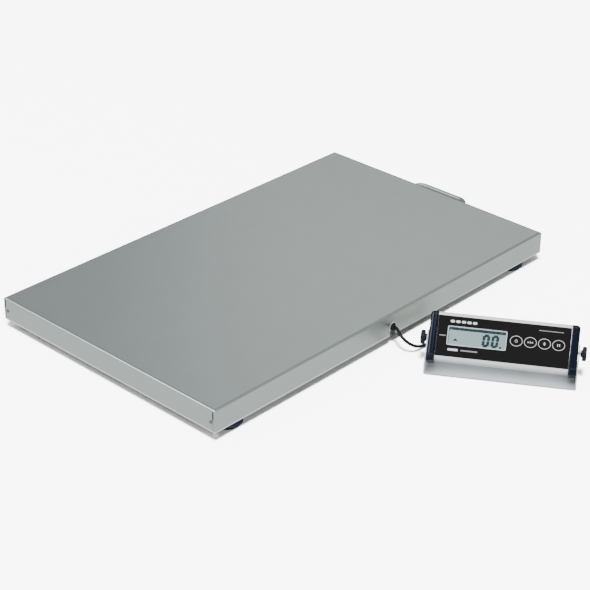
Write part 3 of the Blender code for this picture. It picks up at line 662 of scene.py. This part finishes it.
# ---- the platform ----
def build_pan():
    """The folded sheet: its deck, bends, skirts with a rolled hem, seams, slot and holes."""

    def ring(inset, z):
        corner = max(CORNER - inset, 0.0003)
        size = (2 * (HALF_LENGTH - inset), 2 * (HALF_WIDTH - inset))
        return [(x, y, z) for x, y in panel((0.0, 0.0), size, corner, 4)]

    fold = HEM + BEND
    rings = [ring(fold + 0.0018, DECK_TOP), ring(fold + 0.0010, DECK_TOP - CREASE)]
    rings.append(ring(fold + 0.0002, DECK_TOP))
    steps = 8
    for i in range(steps + 1):
        angle = 0.5 * math.pi * i / steps
        inset = HEM + BEND * (1 - math.sin(angle))
        rings.append(ring(inset, DECK_TOP - BEND * (1 - math.cos(angle))))
    hem_top = SKIRT_BOTTOM + HEM_HEIGHT
    rings += [ring(HEM, hem_top), ring(HEM * 0.3, hem_top - 0.0005), ring(0.0, hem_top - 0.0012)]
    rings += [ring(0.0, SKIRT_BOTTOM + 0.0007), ring(0.0005, SKIRT_BOTTOM)]
    rings += [ring(0.0018, SKIRT_BOTTOM), ring(0.0024, SKIRT_BOTTOM + 0.0007)]
    rings.append(ring(HEM + SHEET, hem_top))
    bend = BEND - SHEET
    for i in range(steps + 1):
        angle = 0.5 * math.pi * (1 - i / steps)
        inset = HEM + SHEET + bend * (1 - math.sin(angle))
        rings.append(ring(inset, DECK_TOP - SHEET - bend * (1 - math.cos(angle))))
    pan = loft(rings)

    slot_middle = SLOT_TOP - SLOT_WIDTH / 2
    half = SLOT_WIDTH / 2
    outline = [(-half, SKIRT_BOTTOM - 0.01), (half, SKIRT_BOTTOM - 0.01)]
    outline += arc((0.0, slot_middle), half, 0.0, 180.0, 24)
    pan = boolean(pan, slab(outline, -HALF_WIDTH - 0.01, -HALF_WIDTH + 0.01))

    low = SKIRT_BOTTOM - 0.01
    high = DECK_TOP - BEND - 0.0006
    relief = panel((0.0, high - RELIEF_HEIGHT / 2), (0.0028, RELIEF_HEIGHT), 0.0012, 4)
    for x in (-HALF_LENGTH, HALF_LENGTH):
        for end in (-1, 1):
            y = end * (HALF_WIDTH - SEAM_FROM_CORNER)
            pan = boolean(pan, block((0.012, 0.0007, high - low), (x, y, (low + high) / 2)))
            place = Matrix.Translation((x, y, 0.0)) @ quarter("Z")
            pan = boolean(pan, moved(slab(relief, -0.006, 0.006), place))
    sheet = piece("pan_sheet", pan, DECK_STEEL, "platform", PLATFORM,
                  ["platform_pan"], 30.0)
    sheet.data.materials.append(HIGHLIGHT_STEEL)
    sheet.data.materials.append(CREASE_SHADE_STEEL)
    for face in sheet.data.polygons:
        # The hem and the skirts' bottom take the near-white steel, a painted highlight line along
        # the bottom edge.
        if face.center.z < hem_top - 0.0003:
            face.material_index = 1
        # Faces at the crease's middle depth take the darker steel, painted shade along the bends.
        elif abs(face.center.z - DECK_TOP + CREASE / 2) < 0.00001:
            face.material_index = 2

    # A bright ring round the slot's edge: a painted highlight where the cut edge catches light.
    inner = arc((0.0, slot_middle), half, -50.0, 230.0, 40)
    outer = arc((0.0, slot_middle), half + 0.0012, -50.0, 230.0, 40)
    rim = slab(outer + inner[::-1], -HALF_WIDTH + 0.0001, -HALF_WIDTH + 0.0008)
    piece("slot_rim_highlight", rim, HIGHLIGHT_STEEL, "platform", PLATFORM)


def build_corner_screws():
    """Cross-recessed pan heads."""
    for number in range(1, 5):
        name = f"corner_screw_{number}"
        low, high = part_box(name)
        middle = (low + high) / 2
        side = 1 if middle.x > 0 else -1
        outside = high.x if side > 0 else -low.x
        head = turned(
            [(0.0015, -0.0068), (0.0015, -0.0005), (0.0032, -0.0005), (0.0032, -0.0004),
             (0.0029, -0.0002), (0.0022, -0.00005), (0.0010, 0.0)], 32
        )
        head = cross_recess(head, 0.0026, 0.0010, 0.0)
        place = Matrix.Translation((side * outside, middle.y, middle.z)) @ quarter("Y", side)
        piece(f"pan_screw_{number}", head, DARK_SCREW, "platform", place, [name])


def thread(radius, low, high, pitch, segments=20, per_turn=7):
    """A rod with a helical thread around Z, as rings whose radius follows the helix."""
    rings = []
    count = round((high - low) / pitch * per_turn)
    for i in range(count + 1):
        z = low + (high - low) * i / count
        ring = []
        for k in range(segments):
            angle = 2 * math.pi * k / segments
            phase = (z / pitch - k / segments) % 1.0
            depth = 0.55 * pitch * (1 - abs(2 * phase - 1))
            ring.append(((radius - depth) * math.cos(angle), (radius - depth) * math.sin(angle), z))
        rings.append(ring)
    return loft(rings)


def build_feet():
    for number in range(1, 5):
        low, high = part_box(f"foot_pad_{number}")
        stud_low, stud_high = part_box(f"foot_stud_{number}")
        place = Matrix.Translation(((low.x + high.x) / 2, (low.y + high.y) / 2, 0.0))
        radius = (high.x - low.x) / 2

        sole = turned([(0.012, 0.0008), (radius - 0.004, 0.0), (radius - 0.0012, 0.0),
                       (radius - 0.0006, 0.0010), (radius - 0.0006, 0.0022), (0.012, 0.0024)], 64)
        piece(f"foot_sole_{number}", sole, RUBBER, f"foot_{number}", place)

        cup = [(0.0105, 0.0026), (radius - 0.0004, 0.0026), (radius, 0.0030), (radius, 0.0050),
               (radius - 0.0006, 0.0058), (radius - 0.0040, 0.0095), (radius - 0.0052, 0.0100),
               (0.0130, 0.0118), (0.0115, 0.0130), (0.0105, 0.0160), (0.0098, 0.0170),
               (0.0058, 0.0170), (0.0053, 0.0165), (0.0053, 0.0070)]
        body = turned(cup, 64)
        piece(f"foot_cup_{number}", body, FOOT_NAVY, f"foot_{number}", place,
              [f"foot_pad_{number}"])

        rod = thread(0.005, stud_low.z + 0.0005, stud_high.z - 0.0003, 0.0015)
        collar = 0.0175
        reach = 0.008 / math.cos(math.pi / 6)
        hexagon = turned([(reach - 0.0006, collar), (reach, collar + 0.0005),
                          (reach, collar + 0.0045), (reach - 0.0006, collar + 0.005)], 6)
        piece(f"stud_thread_{number}", join([rod, hexagon]), ZINC, f"stud_{number}",
              place, [f"foot_stud_{number}"])


def build_handle():
    low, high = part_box("carry_handle")
    radius = (high.z - low.z) / 2
    bar_x = high.x - radius
    leg_y = (high.y - low.y) / 2 - radius
    middle_y = (high.y + low.y) / 2
    bend = 0.018
    thread_end = low.x
    outside = pan_high.x + 0.0003
    half = [(thread_end, leg_y), (outside - 0.0001, leg_y), (outside, leg_y)]
    radii = [0.004, 0.004, radius]
    steps = 14
    for x in (outside + 0.003, outside + 0.008):
        half.append((x, leg_y))
        radii.append(radius)
    for x, y in arc((bar_x - bend, leg_y - bend), bend, 90.0, 0.0, steps):
        half.append((x, y))
        radii.append(radius)
    line = half + [(x, -y) for x, y in reversed(half)]
    points = [Vector((x, middle_y + y, (low.z + high.z) / 2)) for x, y in line]
    bar = tube(points, radii + radii[::-1], 28)
    collars = []
    for end in (-1, 1):
        ring = turned([(0.0056, 0.0), (0.0074, 0.0), (0.0076, 0.0004), (0.0070, 0.0010),
                       (0.0056, 0.0012)], 32, closed=True)
        place = Matrix.Translation((outside, middle_y + end * leg_y, points[0].z))
        collars.append(moved(ring, place @ quarter("Y")))
    piece("handle_bar", bar, BAR_STEEL, "platform", replaces=["carry_handle"])
    piece("handle_collars", join(collars), ZINC, "platform")


def build_grommet():
    """The rubber bush that fills the slot's top, with a tapered nose round the cable."""
    low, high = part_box("cable_grommet")
    wall = -low.y + pan_low.y
    place = Matrix.Translation(((low.x + high.x) / 2, pan_low.y, (low.z + high.z) / 2))
    profile = [(0.0031, -0.0036), (0.0095, -0.0036), (0.0095, -0.0019), (0.0076, -0.0017),
               (0.0076, 0.0000), (0.0074, 0.0008), (0.0062, 0.0013), (0.0052, 0.0016),
               (0.0042, wall - 0.0003), (0.0038, wall), (0.0031, wall)]
    piece("cable_bush", turned(profile, 40, closed=True), RUBBER, "platform",
          place @ quarter("X"), ["cable_grommet"])


# ---- the display unit's stand ----
def build_bracket():
    """One bent strip: a base and two ears that taper to their rounded ends."""
    half = STAND_LENGTH / 2
    bend = 0.003
    top = AXIS_HEIGHT + EAR_RADIUS
    outer = [(-half, top)] + arc((-half + bend, STAND_BASE + bend), bend, 180.0, 270.0, 6)
    outer += arc((half - bend, STAND_BASE + bend), bend, 270.0, 360.0, 6) + [(half, top)]
    inside = bend - STAND_SHEET
    floor = STAND_BASE + STAND_SHEET
    inner = [(half - STAND_SHEET, top)]
    inner += arc((half - bend, floor + inside), inside, 0.0, -90.0, 6)
    inner += arc((-half + bend, floor + inside), inside, -90.0, -180.0, 6)
    inner += [(-half + STAND_SHEET, top)]
    strip = slab(outer + inner, -STAND_DEPTH / 2, STAND_DEPTH / 2)

    depth = STAND_DEPTH / 2
    reach = math.hypot(depth, AXIS_HEIGHT - EAR_FRONT)
    slope = math.atan2(AXIS_HEIGHT - EAR_FRONT, depth) + math.asin(EAR_RADIUS / reach)
    low = STAND_BASE - 0.01
    outline = [(-depth - 0.001, EAR_FRONT - 0.0005), (-depth - 0.001, low), (depth + 0.001, low)]
    outline.append((depth + 0.001, EAR_FRONT - 0.0005))
    steps = 24
    for i in range(steps + 1):
        angle = (math.pi / 2 - slope) + 2 * slope * i / steps
        outline.append((EAR_RADIUS * math.cos(angle), AXIS_HEIGHT + EAR_RADIUS * math.sin(angle)))
    keep = loft([[(x, y, z) for y, z in outline] for x in (-half - 0.01, half + 0.01)])
    strip = boolean(strip, keep, "INTERSECT")
    hole = moved(
        turned([(0.0033, -half - 0.01), (0.0033, half + 0.01)], 32),
        Matrix.Translation((0.0, 0.0, AXIS_HEIGHT)) @ quarter("Y"),
    )
    strip = soften(boolean(strip, hole), 0.0003, 2, 40.0)
    piece("bent_bracket", strip, BRACKET_STEEL, "platform", STAND,
          ["stand_bracket"])

    for name, side in (("left", -1), ("right", 1)):
        ribs = []
        for i in range(20):
            rib = block((0.0136, 0.0032, 0.0012), (side * 0.112, -0.038 + 0.004 * i, 0.0006))
            ribs.append(soften(rib, 0.0003, 1))
        piece(f"pad_ribs_{name}", join(ribs), RUBBER, "platform", STAND,
              [f"stand_pad_{name}"])


# ---- the display unit ----
def build_housing():
    """An aluminium extrusion with a recessed face, cut out for the display, keys and cable."""
    outer = rounded((FRONT, HOUSING_LOW), (BACK, HOUSING_HIGH),
                    (FRONT_ROUND, BACK_ROUND, BACK_ROUND, FRONT_ROUND), 10)
    high = OVERLAY_MIDDLE + OVERLAY_HEIGHT / 2 + 0.0003
    low = OVERLAY_MIDDLE - OVERLAY_HEIGHT / 2 - 0.0003
    lip = 0.0004
    outer += [(FRONT, high + lip), (FRONT + lip, high), (FACE, high), (FACE, low),
              (FRONT + lip, low), (FRONT, low - lip)]
    back = BACK_ROUND - WALL
    inner = rounded((INNER_FACE, HOUSING_LOW + WALL), (BACK - WALL, HOUSING_HIGH - WALL),
                    (0.003, back, back, 0.003), 10)
    inner += [(INNER_FACE, z) for z in (high - 0.001, high - 0.003, high - 0.005, low + 0.005,
                                        low + 0.003, low + 0.001)]
    half = HOUSING_LENGTH / 2
    rings = []
    for outline, x in ((outer, -half), (outer, half), (inner, half), (inner, -half)):
        rings.append([(x, y, z) for y, z in outline])
    housing = loft(rings, closed=True)

    window = panel((WINDOW_X, WINDOW_Z), (WINDOW_LENGTH + 0.0024, WINDOW_HEIGHT + 0.0024), 0.003)
    housing = boolean(housing, slab(window, FRONT - 0.01, INNER_FACE + 0.002))
    middle = (KEY_X + 1.5 * KEY_PITCH, KEY_Z)
    size = (3 * KEY_PITCH + KEY_LENGTH + 0.0012, KEY_HEIGHT + 0.0012)
    housing = boolean(housing, slab(panel(middle, size, size[1] / 2 - 0.0005), FRONT - 0.01,
                                    INNER_FACE + 0.002))
    hole = moved(turned([(0.0043, BACK - 0.006), (0.0043, BACK + 0.01)], 32),
                 Matrix.Translation((GLAND_X, 0.0, 0.0)) @ quarter("X", -1))
    housing = boolean(housing, hole)
    unit_piece("extruded_shell", housing, ANODISED, ["housing"], 25.0)


def cap_rings(stations, side):
    """Rings of the cap's outline. Each station is (X, how far it stands proud of the housing)."""
    rings = []
    for x, proud in stations:
        front = FRONT_ROUND + proud
        back = BACK_ROUND + proud
        low = (FRONT - proud, HOUSING_LOW - proud)
        high = (BACK + proud, HOUSING_HIGH + proud)
        outline = rounded(low, high, (front, back, back, front), 10)
        rings.append([(side * x, y, z) for y, z in outline])
    return rings


def build_end_caps():
    """Glossy mouldings with a crowned outside, a waist line and a bumper at the bottom."""
    near = HOUSING_LENGTH / 2 + 0.0003
    far = HOUSING_LENGTH / 2 + CAP_LENGTH
    for name, side in (("left", -1), ("right", 1)):
        stations = [(near, 0.0002), (near + 0.0004, 0.0007), (near + 0.0024, 0.0009)]
        stations += [(near + 0.0030, 0.0003), (near + 0.0036, 0.0009)]
        for i in range(9):
            angle = 0.5 * math.pi * i / 8
            x = far - 0.0080 + 0.0080 * math.sin(angle)
            stations.append((x, 0.0008 - 0.0052 * (1 - math.cos(angle))))
        cap = loft(cap_rings(stations, side))
        hole = moved(turned([(0.0033, 0.1205), (0.0033, 0.14)], 24),
                     quarter("Y", side))
        cap = boolean(cap, hole)
        plug = block((0.0060, 0.0300, 0.0740), (side * (near - 0.0033), 0.0012, 0.003))
        cap = join([cap, soften(plug, 0.002, 3)])
        unit_piece(f"cap_{name}", cap, NAVY, [f"end_cap_{name}"], 40.0)

        top = HOUSING_LOW + 0.0095
        outline = rounded((FRONT - 0.0030, HOUSING_LOW - 0.0038), (BACK + 0.0016, top),
                          (0.0030, 0.0140, 0.0016, 0.0022), 8)
        middle = Vector([sum(values) for values in zip(*outline)]) / len(outline)
        rings = []
        for x, inset in ((near + 0.0004, 0.0012), (near + 0.0010, 0.0003), (near + 0.0018, 0.0),
                         (far - 0.0020, 0.0), (far - 0.0006, 0.0005), (far + 0.0004, 0.0018)):
            rings.append([(side * x, y, z) for y, z in shrunk(outline, middle, inset)])
        unit_piece(f"cap_bumper_{name}", loft(rings), NAVY, sharp=40.0)


def build_overlay():
    """The matt film, with its window and key holes, and plain printed stripes."""
    back = OVERLAY_FRONT + 0.0005
    outline = panel((0.0, OVERLAY_MIDDLE), (OVERLAY_LENGTH, OVERLAY_HEIGHT), 0.0012, 4)
    film = slab(outline, OVERLAY_FRONT, back)
    holes = [panel((WINDOW_X, WINDOW_Z), (WINDOW_LENGTH, WINDOW_HEIGHT), 0.003)]
    for i in range(4):
        middle = (KEY_X + i * KEY_PITCH, KEY_Z)
        holes.append(ellipse(middle, KEY_LENGTH + 0.0006, KEY_HEIGHT + 0.0006))
    for hole in holes:
        film = boolean(film, slab(hole, FRONT - 0.01, FACE + 0.01))
    unit_piece("face_film", film, FILM, ["front_overlay"])

    def stripe(x, z, length, height):
        outline = panel((x, z), (length, height), height * 0.45, 4)
        return slab(outline, OVERLAY_FRONT - PRINT, OVERLAY_FRONT + 0.0001)

    white = [stripe(-0.0912 + 0.0098 * i, 0.0302, 0.0076, 0.0046) for i in range(5)]
    white.append(stripe(-0.0860, -0.0205, 0.0185, 0.0040))
    unit_piece("white_stripes", join(white), WHITE_PRINT)
    grey = [stripe(0.0815, 0.0298, 0.0430, 0.0014), stripe(-0.0575, -0.0205, 0.0300, 0.0024),
            stripe(-0.1065, 0.0036, 0.0115, 0.0018)]
    unit_piece("grey_stripes", join(grey), GREY_PRINT)


def build_display():
    """The panel under the lens, its pale border, a painted shadow along its top and left edge, and
    the digits.
    """
    panel_front = LENS_BACK + 0.0002
    size = (WINDOW_LENGTH - 0.0006, WINDOW_HEIGHT - 0.0006)
    outer = panel((WINDOW_X, WINDOW_Z), size, 0.0027)
    unit_piece("window_lens", lens_plate(outer), LENS, ["display_lens"])

    border = 0.0019
    inner = panel((WINDOW_X, WINDOW_Z), (size[0] - 2 * border, size[1] - 2 * border), 0.0014)
    ring = frame_slab(outer, inner, panel_front, panel_front + 0.0008)
    unit_piece("display_border_ring", ring, BEZEL)
    sheet = slab(outer, panel_front + 0.0005, panel_front + 0.0013)
    unit_piece("display_sheet", sheet, DISPLAY)

    left = WINDOW_X - size[0] / 2 + border
    top = WINDOW_Z + size[1] / 2 - border
    shown = panel_front + 0.0005 - PRINT
    hidden = panel_front + 0.0006
    width = size[0] - 2 * border
    height = size[1] - 2 * border
    # The first two outlines are a painted shadow: a dark strip along the panel's top and a thin one
    # down its left edge, where the recessed panel lies in shade.
    outlines = [panel((WINDOW_X, top - 0.0026), (width, 0.0052), 0.0006, 3),
                panel((left + 0.0006, WINDOW_Z), (0.0012, height), 0.0004, 3)]
    for x in (-0.0300, -0.0142):
        outlines += digit_zero(x, 0.0015, 0.0130, 0.0234)
    point = panel((-0.0040, -0.0082), (0.0036, 0.0038), 0.0004, 3)
    triangle = [(-0.0880, -0.0040), (-0.0790, -0.0040), (-0.0835, 0.0006)]
    outlines += [point, triangle]
    marks = join([slab(outline, shown, hidden) for outline in outlines])
    unit_piece("display_marks", marks, SEGMENT_AND_SHADOW)


def lens_plate(outline):
    """The lens: a plate whose front edge is eased."""
    middle = Vector((WINDOW_X, WINDOW_Z))
    rings = []
    for y, inset in ((LENS_BACK, 0.0), (LENS_FRONT + 0.0002, 0.0), (LENS_FRONT, 0.0002)):
        rings.append([(x, y, z) for x, z in shrunk(outline, middle, inset)])
    return loft(rings)


def digit_zero(x, z, width, height):
    """Outlines of the six lit segments of a slanted seven-segment zero around a middle."""
    bar = 0.0050
    gap = 0.00012
    lean = 0.08
    half_x = width / 2 - bar / 2
    half_z = height / 2 - bar / 2
    segments = []
    corners = [(-half_x, half_z), (half_x, half_z), (half_x, 0.0), (half_x, -half_z),
               (-half_x, -half_z), (-half_x, 0.0)]
    for (ax, az), (bx, bz) in zip(corners, corners[1:] + corners[:1]):
        a = Vector((ax, az))
        b = Vector((bx, bz))
        along = (b - a).normalized()
        out = Vector((-along.y, along.x)) * bar / 2
        a += along * gap
        b -= along * gap
        tip = along * bar * 0.14
        outline = [a, a + tip + out, b - tip + out, b, b - tip - out, a + tip - out]
        segments.append([(x + p.x + lean * p.y, z + p.y) for p in outline])
    return segments


def build_keys():
    """Flat oval membrane keys with a printed ring and a plain symbol."""
    line = 0.0008
    length = KEY_LENGTH - 0.0010
    height = KEY_HEIGHT - 0.0010
    for i in range(4):
        x = KEY_X + i * KEY_PITCH
        name = f"key_{i + 1}"
        body = f"button_{i + 1}"
        rings = []
        for y, inset in ((KEY_FRONT + 0.002, 0.0), (KEY_FRONT + 0.0002, 0.0), (KEY_FRONT, 0.0003)):
            outline = ellipse((x, KEY_Z), KEY_LENGTH - 2 * inset, KEY_HEIGHT - 2 * inset)
            rings.append([(px, y, pz) for px, pz in outline])
        piece(f"key_cap_{i + 1}", loft(rings), FILM, body, UNIT, [name])

        shown = KEY_FRONT - PRINT
        hidden = KEY_FRONT + 0.0001
        outer = ellipse((x, KEY_Z), length, height)
        inner = ellipse((x, KEY_Z), length - 2 * line, height - 2 * line)
        parts = [frame_slab(outer, inner, shown, hidden)]
        for outline in key_symbol(i):
            parts.append(slab([(x + px, KEY_Z + pz) for px, pz in outline], shown, hidden))
        piece(f"key_print_{i + 1}", join(parts), WHITE_PRINT, body, UNIT)


def key_symbol(i):
    """Outlines of a plain symbol: a switch, zero arrows, an up and a down arrow, a hold sign."""
    if i == 0:
        ring = arc((0.0, 0.0), 0.0026, 125.0, 415.0, 20) + arc((0.0, 0.0), 0.0019, 415.0, 125.0, 20)
        return [ring, panel((0.0, 0.0022), (0.0007, 0.0026), 0.0003, 3)]
    if i == 1:
        left = [(-0.0046, -0.0016), (-0.0014, 0.0), (-0.0046, 0.0016)]
        right = [(0.0046, 0.0016), (0.0014, 0.0), (0.0046, -0.0016)]
        return [left, right, panel((0.0, 0.0), (0.0008, 0.0044), 0.0003, 3)]
    if i == 2:
        up = [(-0.0022, 0.0006), (0.0022, 0.0006), (0.0, 0.0030)]
        down = [(0.0022, -0.0006), (-0.0022, -0.0006), (0.0, -0.0030)]
        return [up, down]
    return [panel((side * 0.0017, 0.0), (0.0014, 0.0044), 0.0003, 3) for side in (-1, 1)]


def build_gland():
    """A hexagon body, a dome nut and a ribbed strain relief round the cable."""
    place = UNIT @ Matrix.Translation((GLAND_X, 0.0, 0.0)) @ quarter("X", -1)
    hexagon = turned([(0.0074, BACK + 0.0003), (0.0080, BACK + 0.0006), (0.0080, 0.0221),
                      (0.0074, 0.0225)], 6)
    profile = [(0.0031, 0.0142), (0.0065, 0.0142), (0.0065, 0.0177), (0.0040, 0.0177),
               (0.0040, 0.0215), (0.0062, 0.0226), (0.0064, 0.0240), (0.0056, 0.0254),
               (0.0050, 0.0258)]
    ribs = 5
    start = 0.0262
    pitch = (GLAND_TIP - start) / ribs
    for i in range(ribs):
        radius = 0.0049 - 0.00024 * i
        z = start + pitch * i
        profile += [(radius, z), (radius, z + 0.6 * pitch), (radius - 0.0007, z + 0.7 * pitch),
                    (radius - 0.0007, z + 0.95 * pitch)]
    profile += [(0.0036, GLAND_TIP), (0.0031, GLAND_TIP)]
    body = turned(profile, 40, closed=True)
    piece("gland_body", join([body, hexagon]), NYLON, "indicator", place,
          ["cable_gland"])


def build_knobs():
    """Clamp knobs: a fluted disc with a dished face, a neck and a threaded stud."""
    segments = 96
    flutes = 16
    near = KNOB_NEAR
    far = KNOB_FAR
    profile = [(0.0066, 0.1353), (0.0066, near), (0.0114, near), (0.0126, near + 0.0008),
               (KNOB_RADIUS, near + 0.0020), (KNOB_RADIUS, far - 0.0026), (0.0125, far - 0.0010),
               (0.0113, far - 0.0002), (0.0100, far), (0.0086, far - 0.0002),
               (0.0074, far - 0.0009), (0.0030, far - 0.0012)]
    for name, side in (("left", -1), ("right", 1)):
        rings = []
        for radius, z in profile:
            depth = 0.0007 if radius > 0.0112 else 0.0
            ring = []
            for k in range(segments):
                angle = 2 * math.pi * k / segments
                r = radius - depth * (0.5 - 0.5 * math.cos(flutes * angle)) ** 3
                ring.append((r * math.cos(angle), r * math.sin(angle), z))
            rings.append(ring)
        place = UNIT @ quarter("Y", side)
        piece(f"knob_grip_{name}", loft(rings), NAVY, f"knob_{name}", place,
              [f"clamp_knob_{name}"], 50.0)
        stud = thread(0.003, 0.1217, 0.1358, 0.0010, 20)
        piece(f"knob_stud_{name}", stud, ZINC, f"knob_{name}", place)


# ---- CAD nodes that are shown as they are ----
def dress_nodes():
    shown = {
        FRAME_PAINT: ["frame_rail_front", "frame_rail_back", "frame_cross_left",
                      "frame_cross_right", "frame_centre_plate"],
        CELL_ALUMINIUM: [f"load_cell_{i}" for i in range(1, 5)],
        ZINC: [f"lock_nut_{i}" for i in range(1, 5)]
        + ["handle_nut_1", "handle_nut_2", "clamp_washer_left", "clamp_washer_right"],
        MOULDED: ["junction_box", "junction_box_lid"],
        BOARD: ["summing_board", "main_board"],
        SLEEVE: ["battery_pack"],
        DISPLAY: ["display_module"],
        JACKET: ["cable_inner"],
    }
    for material, names in shown.items():
        for name in names:
            frame["nodes"][name].data.materials[0] = material


def cell_bolt():
    """A socket head, seen from below."""
    head = turned([(0.0022, 0.0002), (0.0048, 0.0002), (0.0050, -0.0004), (0.0050, -0.0044),
                   (0.0046, -0.0048), (0.0001, -0.0048)], 32)
    return boolean(head, turned([(0.0029, -0.0060), (0.0029, -0.0022)], 6))


def build_underside():
    """What is screwed and clipped to the frame: cell bolts, lid screws, and the cells' leads."""
    lid_low, lid_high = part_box("junction_box_lid")
    box_low, box_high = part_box("junction_box")
    middle = (box_low.x + box_high.x) / 2
    bolts = []
    for number in range(1, 5):
        low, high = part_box(f"load_cell_{number}")
        pad_low, pad_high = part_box(f"foot_pad_{number}")
        foot = (pad_low + pad_high) / 2
        inward = -1 if foot.x > 0 else 1
        end = high.x if inward > 0 else low.x
        for step in (0.010, 0.026):
            place = Matrix.Translation((end - inward * step, foot.y, low.z))
            bolts.append(moved(cell_bolt(), place))

        # A lead leaves its cell, dips under the rail and rises to the junction box.
        row = -1 if foot.y < (pan_low.y + pan_high.y) / 2 else 1
        z = low.z + 0.004
        x_turn = middle - inward * (0.060 if row < 0 else 0.030)
        rail_edge = foot.y - row * 0.0215
        route = [(end - inward * 0.001, foot.y, z), (end + inward * 0.02, foot.y, z),
                 (x_turn - inward * 0.020, foot.y, z), (x_turn, foot.y - row * 0.006, z - 0.003),
                 (x_turn + inward * 0.004, rail_edge, 0.0355)]
        if row > 0:
            over = x_turn + inward * 0.005
            entry = x_turn + inward * 0.006
            wall = box_high.y
            route += [(over, rail_edge - 0.030, 0.0535), (over, wall + 0.050, 0.0535),
                      (entry, wall + 0.014, 0.0460), (entry, wall - 0.001, LEAD_HEIGHT)]
        else:
            entry = middle - inward * 0.028
            wall = box_low.y
            route += [(entry - inward * 0.006, rail_edge + 0.018, 0.0395),
                      (entry, wall - 0.012, LEAD_HEIGHT), (entry, wall + 0.001, LEAD_HEIGHT)]
        path = smooth_route(route, 0.006)
        lead = tube(path, [LEAD_RADIUS] * len(path), 12)
        piece(f"cell_lead_{number}", lead, JACKET, "platform")
        gland = turned([(0.0021, 0.0001), (0.0052, 0.0001), (0.0054, 0.0006), (0.0054, 0.0028),
                        (0.0044, 0.0034), (0.0040, 0.0070), (0.0028, 0.0090), (0.0021, 0.0090)], 28,
                       closed=True)
        place = Matrix.Translation((entry, wall, LEAD_HEIGHT)) @ quarter("X", -row)
        piece(f"lead_gland_{number}", gland, NYLON, "platform", place)
    piece("cell_bolts", join(bolts), DARK_SCREW, "platform")

    screws = []
    for x in (lid_low.x + 0.006, lid_high.x - 0.006):
        for y in (lid_low.y + 0.006, lid_high.y - 0.006):
            screw = turned([(0.0010, 0.0003), (0.0028, 0.0003), (0.0027, -0.0006),
                            (0.0018, -0.0012), (0.0001, -0.0013)], 24)
            screw = cross_recess(screw, 0.0024, 0.0012, -0.0012)
            screws.append(moved(screw, Matrix.Translation((x, y, lid_low.z))))
    piece("lid_screws", join(screws), ZINC, "platform")


# ---- build ----
build_camera()
build_studio()
build_cable()
build_pan()
build_corner_screws()
build_feet()
build_handle()
build_grommet()
build_underside()
build_bracket()
build_housing()
build_end_caps()
build_overlay()
build_display()
build_keys()
build_gland()
build_knobs()
dress_nodes()
